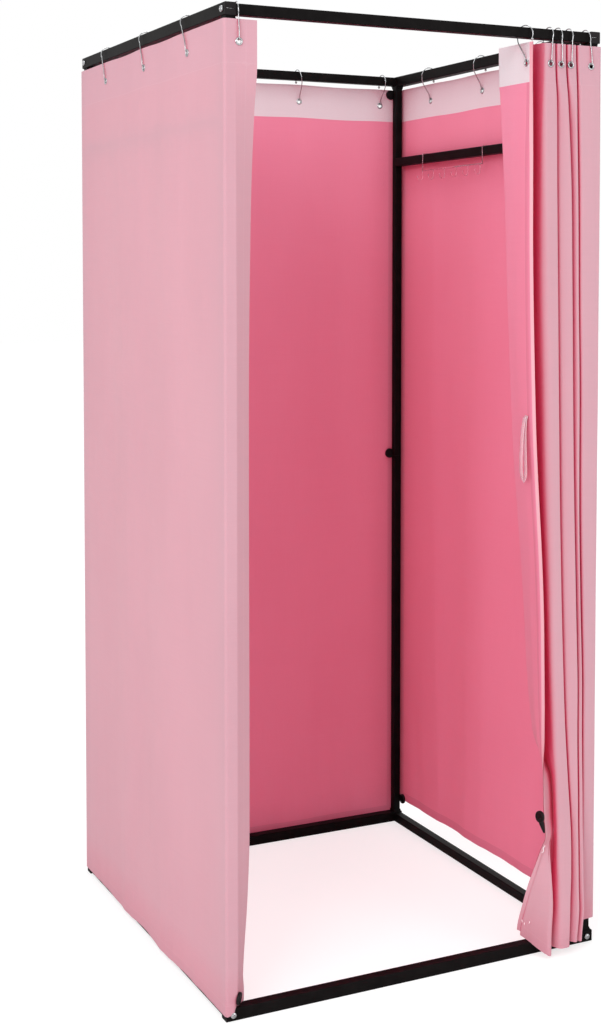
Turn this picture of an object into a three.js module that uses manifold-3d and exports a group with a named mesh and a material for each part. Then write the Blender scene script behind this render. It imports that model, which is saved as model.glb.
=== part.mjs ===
// A portable fitting room: a square-tube frame that comes apart, with curtains that hang on wire hooks.
// Millimetres, +Z up. The doorway faces -Y. The origin is on the floor, under the middle of the frame.
import * as THREE from "three";
import { mergeVertices } from "three/addons/utils/BufferGeometryUtils.js";
import Module from "manifold-3d";

const wasm = await Module();
wasm.setup();

// The frame, over the outer faces of its tubes
const frameWidth = 880;
const frameDepth = 880;
const frameHeight = 2000;

// Square tubes
const longTube = 25; // top side rails and bottom front and back rails
const shortTube = 22; // the rails between them
const postTube = 19;
const barTube = 22;
const tubeWall = 1.2;
const tubeRound = 2;
const cornerInset = 14; // from the frame's outer faces to the centre lines of the posts and short rails
const seatGap = 0.3; // between faces that touch
const slidingFit = 0.5; // all round a spigot, pin or bolt in its hole
const weldSink = 0.6; // how deep a welded piece reaches into the wall that carries it

// Spigots and pins that join rails, posts and bars
const spigotLength = 40;
const collarLip = 1.5;
const collarHeight = 6;
const collarTaper = 1;
const couplingLength = 60;
const postJointHeight = 994; // where each post is divided
const endBlock = 10;
const pinDiameter = 7;
const pinLength = 10;
const barDrop = 224; // centre of the clothes bars below the frame's top
const barVent = 3; // a small drain hole under each clothes bar

// Plugs in the open ends of the top side rails
const plugFlange = 2.5;
const plugLength = 7;
const plugSlotHeight = 1.2;
const plugSlotDepth = 0.8;
const plugSlotShare = 0.64; // of the rail's width

// Dome-head socket bolts that hold the short rails
const boltHead = 13;
const boltHeadHeight = 4.2;
const boltRim = 1;
const boltShank = 5.8;
const boltReach = 8; // how far a bolt goes into a short rail's end block
const boltSocket = 4; // across the flats
const boltSocketDepth = 2.4;

// Wire hooks
const wire = 2.4;
const hookBall = 6.4;
const hookLoop = 19.2; // radius of the loop at the wire's centre line
const hookBallLeg = 6; // from the end of the loop down to the ball, on a long rail
const hookCurl = 4.2; // radius of the curl that goes through an eyelet
const hookTip = 3;
const loopOpenAngle = THREE.MathUtils.degToRad(24);
const loopShankAngle = THREE.MathUtils.degToRad(20);

// Eyelets
const eyeletHole = 9;
const eyeletRing = 16;
const eyeletLip = 0.6; // how far an eyelet stands out from each side of the cloth
const eyeletDrop = 43; // below the top edge of a curtain

// Curtains
const cloth = 1.6;
const clothOff = 2.5; // from the frame's outer faces to the middle of the cloth
const clothCorner = 5.5;
const curtainDrop = 32; // from the top of the frame to the top edge of a curtain
const headBand = 84; // height of the stiff band along the top
const leftHem = 20; // heights of the lower edges above the floor
const wrapHem = 26.5;
const rightHem = 58;
const frontHem = 30;
const waveDepth = 4.4;
const wrapWidth = 68; // how far the first curtain runs round the front left post
const wrapFlat = 21; // the part of the wrap that lies along the front
const wrapTurn = THREE.MathUtils.degToRad(36); // how far the rest is drawn into the cabin at its hem
const wrapTurnPower = 4;
const edgeInset = 8; // from the outer faces to a curtain's edge at the back right post

// Places of the wall hooks and their eyelets along each side, seen from outside, from the middle to the
// right, as shares of that side's length; a hook's ring and its eyelet are a little apart
const leftRingShares = [-0.322, -0.03, 0.248];
const leftEyeletShares = [-0.291, -0.001, 0.288];
const backRingShares = [-0.43, -0.147, 0.147, 0.425];
const backEyeletShares = [-0.433, -0.163, 0.135, 0.415];
const rightRingShares = [-0.268, 0.017, 0.298];
const rightEyeletShares = [-0.247, 0.038, 0.317];

// The gathered doorway curtain. Places along the front are shares of gatherWidth, counted from the frame's
// right face to the left; the folds lean to the right on their way down.
const gatherWidth = 182; // from the right face to the eyelet nearest the doorway
const gatherRingShares = [1.011, 0.676, 0.555, 0.401, 0.165];
const gatherEyeletShares = [1, 0.714, 0.588, 0.456, 0.137];
const leadingHemShare = 0.66; // where the free edge is at the hem
const crestShares = { top: 0.75, hem: 0.415 }; // left side of the first pleat
const creaseShares = [
  { top: 0.651, hem: 0.33 },
  { top: 0.522, hem: 0.247 },
  { top: 0.382, hem: 0.176 },
];
const creaseGap = 5; // between two pleats at the top
const creaseHemGap = 4;
const creaseDepth = 80;
const leadingDepth = 118; // how far the free edge's panel goes back from the front
const leadingHemDepth = 55;
const leadingFoldHemShare = 0.52;
const leadingRound = 7;
const leadingEyeletInset = 12.5; // from the middle of the front cloth to the eyelet in the leading panel
const pleatRound = 5;
const leanDrop = 300; // the folds hang straight down to this far below the frame's top
const stripGap = 0.8; // between neighbouring strips of the gathered cloth

// The hook at the front left corner, and how far the legs of two hooks stand to either side of their loops
const cornerRing = 30.5; // from the frame's left face
const cornerEyelet = 29;
const cornerSplay = 4;
const leadingSplay = 7;

// Magnets
const magnetDiameter = 25;
const magnetThickness = 5.6;
const magnetEdge = 1;
const magnetTopDrop = 45; // centre of the upper magnet below the frame's top
const magnetMiddleHeight = 999;
const magnetInset = 28; // centres of the back magnets from the outer faces
const magnetRightInset = 30;
const magnetRightHeight = 60;
const magnetWrapHeight = 47;
const magnetWrapShare = 0.08; // of the turned part of the wrap
const magnetLeadingHeight = 303;
const magnetLeadingShare = 0.28; // of the leading panel
const magnetClear = 0.8; // from the cloth, which leans a little behind the disc

// The rack of small hooks on the right bar
const rackWire = 2.6;
const rackSpan = 284; // between its two straps
const rackMiddle = 129; // from the middle of the frame to the rack's middle, towards the back
const rackPitch = 55;
const rackHooks = 6;
const rackFirstInset = 10; // from a strap to the first hook
const rackDrop = 20; // from the bar down to the long wire
const rackStrapEnd = 6; // how far a strap reaches down the bar's outer side, below its top
const rackHookLength = 25;
const rackHookCurl = 7;
const rackTip = 4;
const rackBend = 3;

// How finely round forms are divided
const cornerSteps = 2;
const roundSides = 12;
const magnetSides = 16;
const eyeletSides = 10;
const wireSides = 5;
const loopSteps = 8;
const bendSteps = 5;
const ballAround = 6;
const ballUp = 4;
const domeSteps = 3;
const waveColumns = 4; // from one eyelet to the next
const wallRowShares = [0, 0.23, 0.46, 0.63, 0.78, 0.9, 1]; // of the height from the hem to the band
const gatherRowShares = [0, 0.16, 0.32, 0.48, 0.64, 0.78, 0.9, 1];
const cut = 2; // overrun of a cutting body
const overlapTolerance = 1e-4;

const outerX = frameWidth / 2;
const outerY = frameDepth / 2;
const railTopZ = frameHeight - longTube / 2;
const railBottomZ = longTube / 2;
const postX = outerX - cornerInset;
const postY = outerY - cornerInset;
const postFoot = longTube + collarHeight + seatGap;
const postHead = frameHeight - postFoot;
const barHeight = frameHeight - barDrop;
const curtainTop = frameHeight - curtainDrop;
const bandBottom = curtainTop - headBand;
const leanTop = frameHeight - leanDrop;
const eyeletZ = curtainTop - eyeletDrop;
const clothX = outerX + clothOff;
const clothY = outerY + clothOff;
const { lerp, clamp, smoothstep } = THREE.MathUtils;

// Solids

function solid(geometry) {
  const bare = geometry.clone();
  bare.deleteAttribute("normal");
  bare.deleteAttribute("uv");
  const merged = mergeVertices(bare, overlapTolerance);
  return new wasm.Manifold(
    new wasm.Mesh({
      numProp: 3,
      vertProperties: merged.attributes.position.array,
      triVerts: new Uint32Array(merged.index.array),
    }),
  );
}

function geometryOf(body) {
  const mesh = body.getMesh();
  const geometry = new THREE.BufferGeometry();
  geometry.setAttribute("position", new THREE.BufferAttribute(new Float32Array(mesh.vertProperties), 3));
  geometry.setIndex(new THREE.BufferAttribute(new Uint32Array(mesh.triVerts), 1));
  return geometry;
}

function union(bodies) {
  return bodies.reduce((sum, body) => sum.add(body));
}

function subtract(body, cutters) {
  return cutters.reduce((rest, cutter) => rest.subtract(cutter), body);
}

function squareShape(side, round) {
  const half = side / 2;
  const shape = new THREE.Shape();
  shape.moveTo(half, -half + round);
  shape.absarc(half - round, half - round, round, 0, Math.PI / 2);
  shape.absarc(-half + round, half - round, round, Math.PI / 2, Math.PI);
  shape.absarc(-half + round, -half + round, round, Math.PI, 1.5 * Math.PI);
  shape.absarc(half - round, -half + round, round, 1.5 * Math.PI, 2 * Math.PI);
  return shape;
}

// A square bar along X, centred on the origin.
function squareBar(side, length, round) {
  const geometry = new THREE.ExtrudeGeometry(squareShape(side, round), {
    depth: length,
    bevelEnabled: false,
    curveSegments: cornerSteps,
  });
  geometry.translate(0, 0, -length / 2);
  geometry.rotateY(Math.PI / 2);
  return geometry;
}

function squareTube(side, length) {
  const bore = squareBar(side - 2 * tubeWall, length + 2 * cut, tubeRound - tubeWall);
  return solid(squareBar(side, length, tubeRound)).subtract(solid(bore));
}

function box(x, y, z, at) {
  const geometry = new THREE.BoxGeometry(x, y, z);
  geometry.translate(...at);
  return solid(geometry);
}

// A round bar along one axis, centred on a point.
function roundBar(axis, diameter, length, at, sides = roundSides) {
  const geometry = new THREE.CylinderGeometry(diameter / 2, diameter / 2, length, sides);
  if (axis === "x") geometry.rotateZ(Math.PI / 2);
  if (axis === "z") geometry.rotateX(Math.PI / 2);
  geometry.translate(...at);
  return solid(geometry);
}

// A welded spigot with its collar, standing on a tube's upper or lower face.
function spigot(up, at) {
  const side = postTube - 2 * (tubeWall + slidingFit);
  const stem = new THREE.BoxGeometry(side, side, spigotLength + weldSink);
  stem.translate(0, 0, (spigotLength - weldSink) / 2);
  const foot = (postTube + 2 * collarLip) / Math.SQRT2;
  const head = foot - collarTaper * Math.SQRT2;
  const collar = new THREE.CylinderGeometry(head, foot, collarHeight + weldSink, 4);
  collar.rotateX(Math.PI / 2);
  collar.rotateZ(Math.PI / 4);
  collar.translate(0, 0, (collarHeight - weldSink) / 2);
  return [stem, collar].map((geometry) => {
    if (!up) geometry.rotateX(Math.PI);
    geometry.translate(...at);
    return solid(geometry);
  });
}

// Rails and bars, drawn along X with the outer side of the frame towards -Y

function longRail(tubeLength, fullLength, spigotUp, capped) {
  const spigotY = cornerInset - longTube / 2;
  const face = (spigotUp ? 1 : -1) * (longTube / 2);
  const ends = [-1, 1].map((end) => end * (fullLength / 2 - cornerInset));
  const spigots = ends.flatMap((x) => spigot(spigotUp, [x, spigotY, face]));
  const pieces = [squareTube(longTube, tubeLength), ...spigots];
  if (capped) {
    const inside = longTube - 2 * tubeWall + weldSink;
    const capX = (tubeLength - tubeWall) / 2;
    pieces.push(...[-1, 1].map((end) => box(tubeWall, inside, inside, [end * capX, 0, 0])));
  }
  const holes = ends.map((x) => roundBar("y", boltShank + 2 * slidingFit, longTube + 2 * cut, [x, 0, 0]));
  return subtract(union(pieces), holes);
}

function endBlocks(side, length) {
  const inside = side - 2 * tubeWall + weldSink;
  const endX = (length - endBlock) / 2;
  return [-1, 1].map((end) => box(endBlock, inside, inside, [end * endX, 0, 0]));
}

function shortRail(length) {
  const hole = roundBar("x", boltShank + 2 * slidingFit, length + 2 * cut, [0, 0, 0]);
  return union([squareTube(shortTube, length), ...endBlocks(shortTube, length)]).subtract(hole);
}

function clothesBar(length) {
  const pinX = (length + pinLength - endBlock) / 2;
  const pins = [-1, 1].map((end) => roundBar("x", pinDiameter, pinLength + endBlock, [end * pinX, 0, 0]));
  const vent = roundBar("z", barVent, tubeWall + 2 * cut, [length / 2 - 2 * endBlock, 0, -barTube / 2]);
  return union([squareTube(barTube, length), ...endBlocks(barTube, length), ...pins]).subtract(vent);
}

// Posts stand along Z, in place from the floor up; each lower half carries the coupling for its upper half

function standingTube(bottom, top) {
  const bar = squareBar(postTube, top - bottom, tubeRound);
  const bore = squareBar(postTube - 2 * tubeWall, top - bottom + 2 * cut, tubeRound - tubeWall);
  const [outside, inside] = [bar, bore].map((geometry) => {
    geometry.rotateY(Math.PI / 2);
    geometry.translate(0, 0, (bottom + top) / 2);
    return solid(geometry);
  });
  return outside.subtract(inside);
}

function lowerPost() {
  const side = postTube - 2 * (tubeWall + slidingFit);
  const welded = postTube - 2 * tubeWall + weldSink;
  const half = couplingLength / 2;
  return union([
    standingTube(postFoot, postJointHeight),
    box(welded, welded, half, [0, 0, postJointHeight - half / 2]),
    box(side, side, couplingLength, [0, 0, postJointHeight]),
  ]);
}

// toMiddle is the direction along Y in which the clothes bar lies.
function upperPost(toMiddle) {
  const wallY = (toMiddle * (postTube - tubeWall)) / 2;
  const hole = roundBar("y", pinDiameter + 2 * slidingFit, tubeWall + 2 * cut, [0, wallY, barHeight]);
  return standingTube(postJointHeight + seatGap, postHead).subtract(hole);
}

// A plug for the end of a rail along X: its flange covers the tube's edge, and a slot crosses its face.
function railPlug() {
  const inside = longTube - 2 * (tubeWall + slidingFit);
  const flange = squareBar(longTube, plugFlange, tubeRound);
  flange.translate(plugFlange / 2, 0, 0);
  const body = box(plugLength + weldSink, inside, inside, [(weldSink - plugLength) / 2, 0, 0]);
  const slot = box(2 * plugSlotDepth, longTube * plugSlotShare, plugSlotHeight, [plugFlange, 0, 0]);
  return union([solid(flange), body]).subtract(slot);
}

// A bolt along Y with its head towards -Y; the head's underside is at y = 0.
function bolt() {
  const length = seatGap + longTube + seatGap + boltReach;
  const profile = [
    [0, -length],
    [boltShank / 2, -length],
    [boltShank / 2, 0],
    [boltHead / 2, 0],
  ];
  for (let step = 0; step <= domeSteps; step++) {
    const angle = ((step / domeSteps) * Math.PI) / 2;
    const radius = step === domeSteps ? 0 : (boltHead / 2) * Math.cos(angle);
    profile.push([radius, boltRim + (boltHeadHeight - boltRim) * Math.sin(angle)]);
  }
  const geometry = new THREE.LatheGeometry(
    profile.map(([radius, height]) => new THREE.Vector2(radius, height)),
    roundSides,
  );
  geometry.rotateX(Math.PI);
  const socketWidth = boltSocket / Math.cos(Math.PI / 6);
  const socketY = -boltHeadHeight;
  return solid(geometry).subtract(roundBar("y", socketWidth, 2 * boltSocketDepth, [0, socketY, 0], 6));
}

// Bent wire: pieces that follow one another, each with its own number of steps

class BentWire extends THREE.Curve {
  constructor(pieces) {
    super();
    this.pieces = pieces;
    this.steps = pieces.reduce((sum, piece) => sum + piece.steps, 0);
  }
  getPoint(t, target = new THREE.Vector3()) {
    let step = t * this.steps;
    let index = 0;
    while (index + 1 < this.pieces.length && step > this.pieces[index].steps) {
      step -= this.pieces[index].steps;
      index += 1;
    }
    const piece = this.pieces[index];
    return target.copy(piece.at(Math.min(step / piece.steps, 1)));
  }
  getUtoTmapping(u) {
    return u;
  }
}

const straight = (from, to, steps = 1) => ({ steps, at: (t) => from.clone().lerp(to, t) });

function wireSolid(pieces, diameter) {
  const section = new THREE.Shape();
  for (let side = 0; side < wireSides; side++) {
    const angle = (side / wireSides) * 2 * Math.PI;
    const corner = [(diameter / 2) * Math.cos(angle), (diameter / 2) * Math.sin(angle)];
    if (side === 0) section.moveTo(...corner);
    else section.lineTo(...corner);
  }
  const curve = new BentWire(pieces);
  const settings = { steps: curve.steps, bevelEnabled: false, extrudePath: curve };
  return solid(new THREE.ExtrudeGeometry(section, settings));
}

// A hook round a rail along X, seen from the rail's centre line: one wire from a ball, over the rail in an
// open loop, down a shank and through an eyelet in a curl.
// railSide is the rail's section and clothReach the distance out to the middle of the cloth. shank is 1 for
// a shank outside the rail, -1 for inside. shift is how far along the rail the eyelet lies from the ring,
// and splay how far the loop's shank side stands to the left of its middle. across turns the curl for cloth
// that runs square to the rail.
function hook({ railSide, clothReach, shank, shift, splay = 0, across = false }) {
  const half = railSide / 2;
  const inner = hookLoop - wire / 2 - seatGap;
  const loopZ = half - Math.sqrt(inner * inner - half * half);
  const curlZ = eyeletZ - railTopZ + eyeletHole / 2 - wire / 2 - 2 * seatGap + hookCurl;
  const clothSide = clothReach * shank;
  const lean = shift + (splay * clothSide) / hookLoop;
  const fall = (z) => clamp((hookLoop - z) / (hookLoop - curlZ), 0, 1);
  const along = (side, z) => lean * fall(z) - (splay * side) / hookLoop;
  const place = (side, z) => new THREE.Vector3(along(side, z), -side * shank, z);
  const loopAt = (angle) => place(hookLoop * Math.cos(angle), loopZ + hookLoop * Math.sin(angle));
  const curlAt = (angle) => {
    const reach = hookCurl * Math.cos(angle);
    const z = curlZ + hookCurl * Math.sin(angle);
    if (!across) return place(clothSide + reach, z);
    const middle = place(clothSide, curlZ);
    return new THREE.Vector3(middle.x - reach, middle.y, z);
  };
  const ballSide = loopAt(Math.PI + loopOpenAngle);
  const ballZ = -hookLoop * Math.sin(loopOpenAngle) - hookBallLeg;
  const ballEnd = place(-hookLoop * Math.cos(loopOpenAngle), ballZ);
  const shankTop = loopAt(-loopShankAngle);
  const shankEnd = curlAt(0);
  const bend = (shankTop.z - shankEnd.z) / 3;
  const shankCurve = new THREE.CubicBezierCurve3(
    shankTop,
    place(hookLoop, shankTop.z - bend),
    shankEnd.clone().setZ(shankEnd.z + bend),
    shankEnd,
  );
  const tipStart = curlAt(-Math.PI);
  const body = wireSolid(
    [
      straight(ballEnd, ballSide),
      { steps: loopSteps, at: (t) => loopAt(lerp(Math.PI + loopOpenAngle, -loopShankAngle, t)) },
      { steps: bendSteps, at: (t) => shankCurve.getPoint(t) },
      { steps: bendSteps, at: (t) => curlAt(-Math.PI * t) },
      straight(tipStart, tipStart.clone().setZ(tipStart.z + hookTip)),
    ],
    wire,
  );
  const ball = new THREE.SphereGeometry(hookBall / 2, ballAround, ballUp);
  ball.translate(ballEnd.x, ballEnd.y, ballEnd.z);
  return body.add(solid(ball));
}

// Cloth

// A path round circles like a belt, seen from above. Each stop is { x, y, round, turn }: turn is 1 where
// the path bends to the left round its circle and -1 to the right. Stops with no round are corners or ends.
function belt(stops) {
  const signed = ({ round = 0, turn = 1 }) => round * turn;
  const headings = stops.slice(1).map((to, i) => {
    const from = stops[i];
    const apart = Math.hypot(to.x - from.x, to.y - from.y);
    return Math.atan2(to.y - from.y, to.x - from.x) - Math.asin((signed(to) - signed(from)) / apart);
  });
  const touch = (stop, heading) => [
    stop.x + signed(stop) * Math.sin(heading),
    stop.y - signed(stop) * Math.cos(heading),
  ];
  return {
    leg(i, share) {
      const from = touch(stops[i], headings[i]);
      const to = touch(stops[i + 1], headings[i]);
      return [lerp(from[0], to[0], share), lerp(from[1], to[1], share)];
    },
    arc(i, share) {
      const turned = headings[i] - headings[i - 1];
      const sweep = Math.atan2(Math.sin(turned), Math.cos(turned));
      return touch(stops[i], headings[i - 1] + sweep * share);
    },
  };
}

const legColumns = (i, shares) => shares.map((share) => ({ kind: "leg", i, share }));
const arcColumns = (i, shares) => shares.map((share) => ({ kind: "arc", i, share }));

// A closed sheet of cloth. beltAt gives the path of the cloth's middle at a height, with its outer face to
// the right of the path. rowsAt gives a column's heights from its hem up, and bulge how far a point of the
// path is pushed outwards.
function sheet({ columns, rowsAt, beltAt, bulge = () => 0 }) {
  const heights = columns.map(rowsAt);
  const rowCount = heights[0].length;
  const middle = (row, column) => {
    const { kind, i, share } = columns[column];
    return beltAt(heights[column][row])[kind](i, share);
  };
  const last = columns.length - 1;
  const points = [];
  for (const side of [1, -1]) {
    for (let row = 0; row < rowCount; row++) {
      for (let column = 0; column <= last; column++) {
        const [x, y] = middle(row, column);
        const [x0, y0] = middle(row, Math.max(column - 1, 0));
        const [x1, y1] = middle(row, Math.min(column + 1, last));
        const length = Math.hypot(x1 - x0, y1 - y0);
        const z = heights[column][row];
        const out = (side * cloth) / 2 + bulge(x, y, z);
        points.push(x + ((y1 - y0) / length) * out, y - ((x1 - x0) / length) * out, z);
      }
    }
  }
  const at = (side, row, column) => (side * rowCount + row) * columns.length + column;
  const faces = [];
  const quad = (a, b, c, d) => faces.push(a, b, c, a, c, d);
  for (let row = 0; row + 1 < rowCount; row++) {
    for (let column = 0; column < last; column++) {
      quad(at(0, row, column), at(0, row, column + 1), at(0, row + 1, column + 1), at(0, row + 1, column));
      quad(at(1, row, column), at(1, row + 1, column), at(1, row + 1, column + 1), at(1, row, column + 1));
    }
    quad(at(0, row, 0), at(0, row + 1, 0), at(1, row + 1, 0), at(1, row, 0));
    quad(at(0, row, last), at(1, row, last), at(1, row + 1, last), at(0, row + 1, last));
  }
  const top = rowCount - 1;
  for (let column = 0; column < last; column++) {
    quad(at(0, 0, column), at(1, 0, column), at(1, 0, column + 1), at(0, 0, column + 1));
    quad(at(0, top, column), at(0, top, column + 1), at(1, top, column + 1), at(1, top, column));
  }
  const geometry = new THREE.BufferGeometry();
  geometry.setAttribute("position", new THREE.BufferAttribute(new Float32Array(points), 3));
  geometry.setIndex(faces);
  return solid(geometry);
}

// Adds the eyelets to a curtain: rings let into the cloth, each with a hole right through.
function withEyelets(body, eyelets) {
  const length = cloth + 2 * eyeletLip;
  const rings = eyelets.map(({ axis, at }) => roundBar(axis, eyeletRing, length, at, eyeletSides));
  const holes = eyelets.map(({ axis, at }) => roundBar(axis, eyeletHole, length + 2 * cut, at, eyeletSides));
  return subtract(union([body, ...rings]), holes);
}

// Where a disc lies on a curtain: its middle and its direction, from the cloth around it, which is straight
// from each of its rows to the next.
function seatOn(beltAt, rows, i, share, height, side) {
  const reach = magnetDiameter / 2;
  const onRow = (along, z) => {
    const [x, y] = beltAt(z).leg(i, along);
    return new THREE.Vector3(x, y, z);
  };
  const point = (along, z) => {
    const next = Math.max(1, rows.findIndex((row) => row > z));
    const low = rows[next - 1];
    const high = rows[next];
    return onRow(along, low).lerp(onRow(along, high), (z - low) / (high - low));
  };
  const middle = point(share, height);
  const along = point(1, height).sub(point(0, height));
  const up = point(share, height + reach).sub(point(share, height - reach));
  const normal = along.cross(up).normalize().multiplyScalar(side);
  const off = cloth / 2 + magnetClear + magnetThickness / 2;
  return { at: middle.addScaledVector(normal, off), normal };
}

// A disc magnet with eased edges, lying across Z.
function magnet() {
  const half = magnetThickness / 2;
  const radius = magnetDiameter / 2;
  const profile = [
    [0, -half],
    [radius - magnetEdge, -half],
    [radius, -half + magnetEdge],
    [radius, half - magnetEdge],
    [radius - magnetEdge, half],
    [0, half],
  ];
  const points = profile.map(([reach, height]) => new THREE.Vector2(reach, height));
  const geometry = new THREE.LatheGeometry(points, magnetSides);
  geometry.rotateX(Math.PI / 2);
  return solid(geometry);
}

// The rack: two straps over the bar, a long wire below it, and small hooks that curl into the cabin. It is
// drawn along X from the bar's centre line, with the cabin towards +Y.
function hookRack() {
  const side = barTube / 2 + seatGap + rackWire / 2;
  const low = -barTube / 2 - rackDrop;
  const point = (x, y, z) => new THREE.Vector3(x, y, z);
  const bend = (x, y, z, from) => ({
    steps: cornerSteps,
    at: (t) => {
      const angle = from - (t * Math.PI) / 2;
      return point(x, y + rackBend * Math.cos(angle), z + rackBend * Math.sin(angle));
    },
  });
  const straps = [-1, 1].map((end) => {
    const x = (end * rackSpan) / 2;
    const inner = side - rackBend;
    return wireSolid(
      [
        straight(point(x, -side, inner - rackStrapEnd), point(x, -side, inner)),
        bend(x, -inner, inner, Math.PI),
        straight(point(x, -inner, side), point(x, inner, side)),
        bend(x, inner, inner, Math.PI / 2),
        straight(point(x, side, inner), point(x, side, low)),
      ],
      rackWire,
    );
  });
  const longWire = roundBar("x", rackWire, rackSpan + rackWire, [0, side, low], wireSides + 1);
  const bottom = low - rackHookLength + rackHookCurl;
  const hooks = Array.from({ length: rackHooks }, (_, index) => {
    const x = rackFirstInset - rackSpan / 2 + index * rackPitch;
    const centre = side + rackHookCurl;
    const tip = side + 2 * rackHookCurl;
    return wireSolid(
      [
        straight(point(x, side, low), point(x, side, bottom)),
        {
          steps: bendSteps,
          at: (t) => {
            const angle = Math.PI * (1 + t);
            const y = centre + rackHookCurl * Math.cos(angle);
            return point(x, y, bottom + rackHookCurl * Math.sin(angle));
          },
        },
        straight(point(x, tip, bottom), point(x, tip, bottom + rackTip)),
      ],
      rackWire,
    );
  });
  return union([longWire, ...straps, ...hooks]);
}

// The paths of the two curtains

// The first curtain: along the back, round the left side, and round the front left post.
function firstBelt(z) {
  const turn = z < bandBottom ? wrapTurn * (1 - (z / bandBottom) ** wrapTurnPower) : 0;
  const cornerX = clothX - clothCorner;
  const cornerY = clothY - clothCorner;
  const creaseX = -outerX + wrapFlat;
  const turned = wrapWidth - wrapFlat;
  return belt([
    { x: outerX - edgeInset, y: clothY },
    { x: -cornerX, y: cornerY, round: clothCorner },
    { x: -cornerX, y: -cornerY, round: clothCorner },
    { x: creaseX, y: -clothY },
    { x: creaseX + turned * Math.cos(turn), y: -clothY + turned * Math.sin(turn) },
  ]);
}

// The second curtain: from its free edge in the doorway through the gathered pleats and along the right.
// lean is 0 at the top of the folds and 1 at their hem.
const leanAt = (z) => 1 - smoothstep(z, frontHem, leanTop);
const gatherPlace = (share) => outerX - share * gatherWidth;

function secondBelt(z) {
  const lean = leanAt(z);
  const between = ({ top, hem }) => gatherPlace(lerp(top, hem, lean));
  const gap = lerp(creaseGap, creaseHemGap, lean);
  const crestY = -clothY + pleatRound;
  const creaseY = -clothY + creaseDepth - gap / 2;
  const creases = creaseShares.map((shares) => ({ x: between(shares), y: creaseY }));
  const corner = (x) => ({ x, y: crestY, round: pleatRound });
  const fold = gatherPlace(lerp(gatherEyeletShares[0], leadingFoldHemShare, lean)) + leadingRound;
  return belt([
    {
      x: gatherPlace(lerp(gatherEyeletShares[0], leadingHemShare, lean)),
      y: -clothY - waveDepth,
    },
    {
      x: fold,
      y: -clothY + lerp(leadingDepth, leadingHemDepth, lean) - leadingRound,
      round: leadingRound,
      turn: -1,
    },
    corner(between(crestShares) + pleatRound),
    ...creases.flatMap(({ x, y }) => [
      corner(x - gap / 2 - pleatRound),
      { x, y, round: gap / 2, turn: -1 },
      corner(x + gap / 2 + pleatRound),
    ]),
    { x: clothX - clothCorner, y: -clothY + clothCorner, round: clothCorner },
    { x: clothX, y: outerY - edgeInset },
  ]);
}

// Heights of a curtain's rows
const rowsFrom = (hem, shares) => [...shares.map((share) => lerp(hem, bandBottom, share)), curtainTop];
const wrapRows = rowsFrom(wrapHem, wallRowShares);
const gatherRows = rowsFrom(frontHem, gatherRowShares);

// Waves between the eyelets of a wall, flat behind the band
function wave(place, eyelets, z) {
  const next = eyelets.findIndex((eyelet) => eyelet > place);
  if (next < 1) return 0;
  const across = (place - eyelets[next - 1]) / (eyelets[next] - eyelets[next - 1]);
  const height = 1 - smoothstep(z, leanTop, bandBottom);
  return waveDepth * height * Math.sin(Math.PI * across) ** 2;
}

const placesOf = (shares, length) => shares.map((share) => share * length);
const leftEyelets = placesOf(leftEyeletShares, frameDepth);
const backEyelets = placesOf(backEyeletShares, frameWidth);
const rightEyelets = placesOf(rightEyeletShares, frameDepth);

// Shares along a leg between two ends, with waveColumns from each eyelet to the next
function wallShares(from, to, eyelets) {
  const places = eyelets.flatMap((eyelet, i) => {
    if (i + 1 === eyelets.length) return [eyelet];
    return Array.from({ length: waveColumns }, (_, k) => lerp(eyelet, eyelets[i + 1], k / waveColumns));
  });
  return places.map((place) => (place - from) / (to - from));
}

const cornerShares = [0, 0.33, 0.67, 1];
const pleatShares = [0, 1];
const foldMiddleShare = 0.5;
const foldQuarterShare = 0.25;
const edgeShare = 0.5;

function firstCurtain() {
  const cornerX = clothX - clothCorner;
  const cornerY = clothY - clothCorner;
  const columns = [
    ...legColumns(0, [0, ...wallShares(-outerX + edgeInset, cornerX, backEyelets)]),
    ...arcColumns(1, cornerShares),
    ...legColumns(1, wallShares(-cornerY, cornerY, leftEyelets)),
    ...arcColumns(2, cornerShares),
    ...legColumns(3, [0, edgeShare, 1]),
  ];
  const wallRows = rowsFrom(leftHem, wallRowShares);
  const rowsAt = ({ kind, i }) => (kind === "leg" && i === 3 ? wrapRows : wallRows);
  const bulge = (x, y, z) => {
    if (y > cornerY) return wave(-x, backEyelets, z);
    if (x < -cornerX) return wave(-y, leftEyelets, z);
    return 0;
  };
  const eyelets = [
    ...backEyelets.map((place) => ({ axis: "y", at: [-place, clothY, eyeletZ] })),
    ...leftEyelets.map((place) => ({ axis: "x", at: [-clothX, -place, eyeletZ] })),
    { axis: "y", at: [-outerX + cornerEyelet, -clothY, eyeletZ] },
  ];
  return withEyelets(sheet({ columns, rowsAt, beltAt: firstBelt, bulge }), eyelets);
}

// Stops of the second belt at which the gathered cloth is divided: the leading fold and the creases, which
// lie between the two corners of their pleats
const firstFold = 1;
const stopsEach = 3;
const foldStops = [firstFold, ...creaseShares.map((_, i) => firstFold + stopsEach * (i + 1))];
const foldRound = [leadingRound, ...creaseShares.map(() => creaseHemGap / 2)];
const gatherEyelets = gatherEyeletShares.map(gatherPlace);

function halfFold(index, after) {
  const gapShare = stripGap / 2 / (Math.PI * foldRound[index]);
  const shares = [0, foldQuarterShare, foldMiddleShare - gapShare];
  return arcColumns(foldStops[index], after ? shares.map((share) => 1 - share).reverse() : shares);
}

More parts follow.
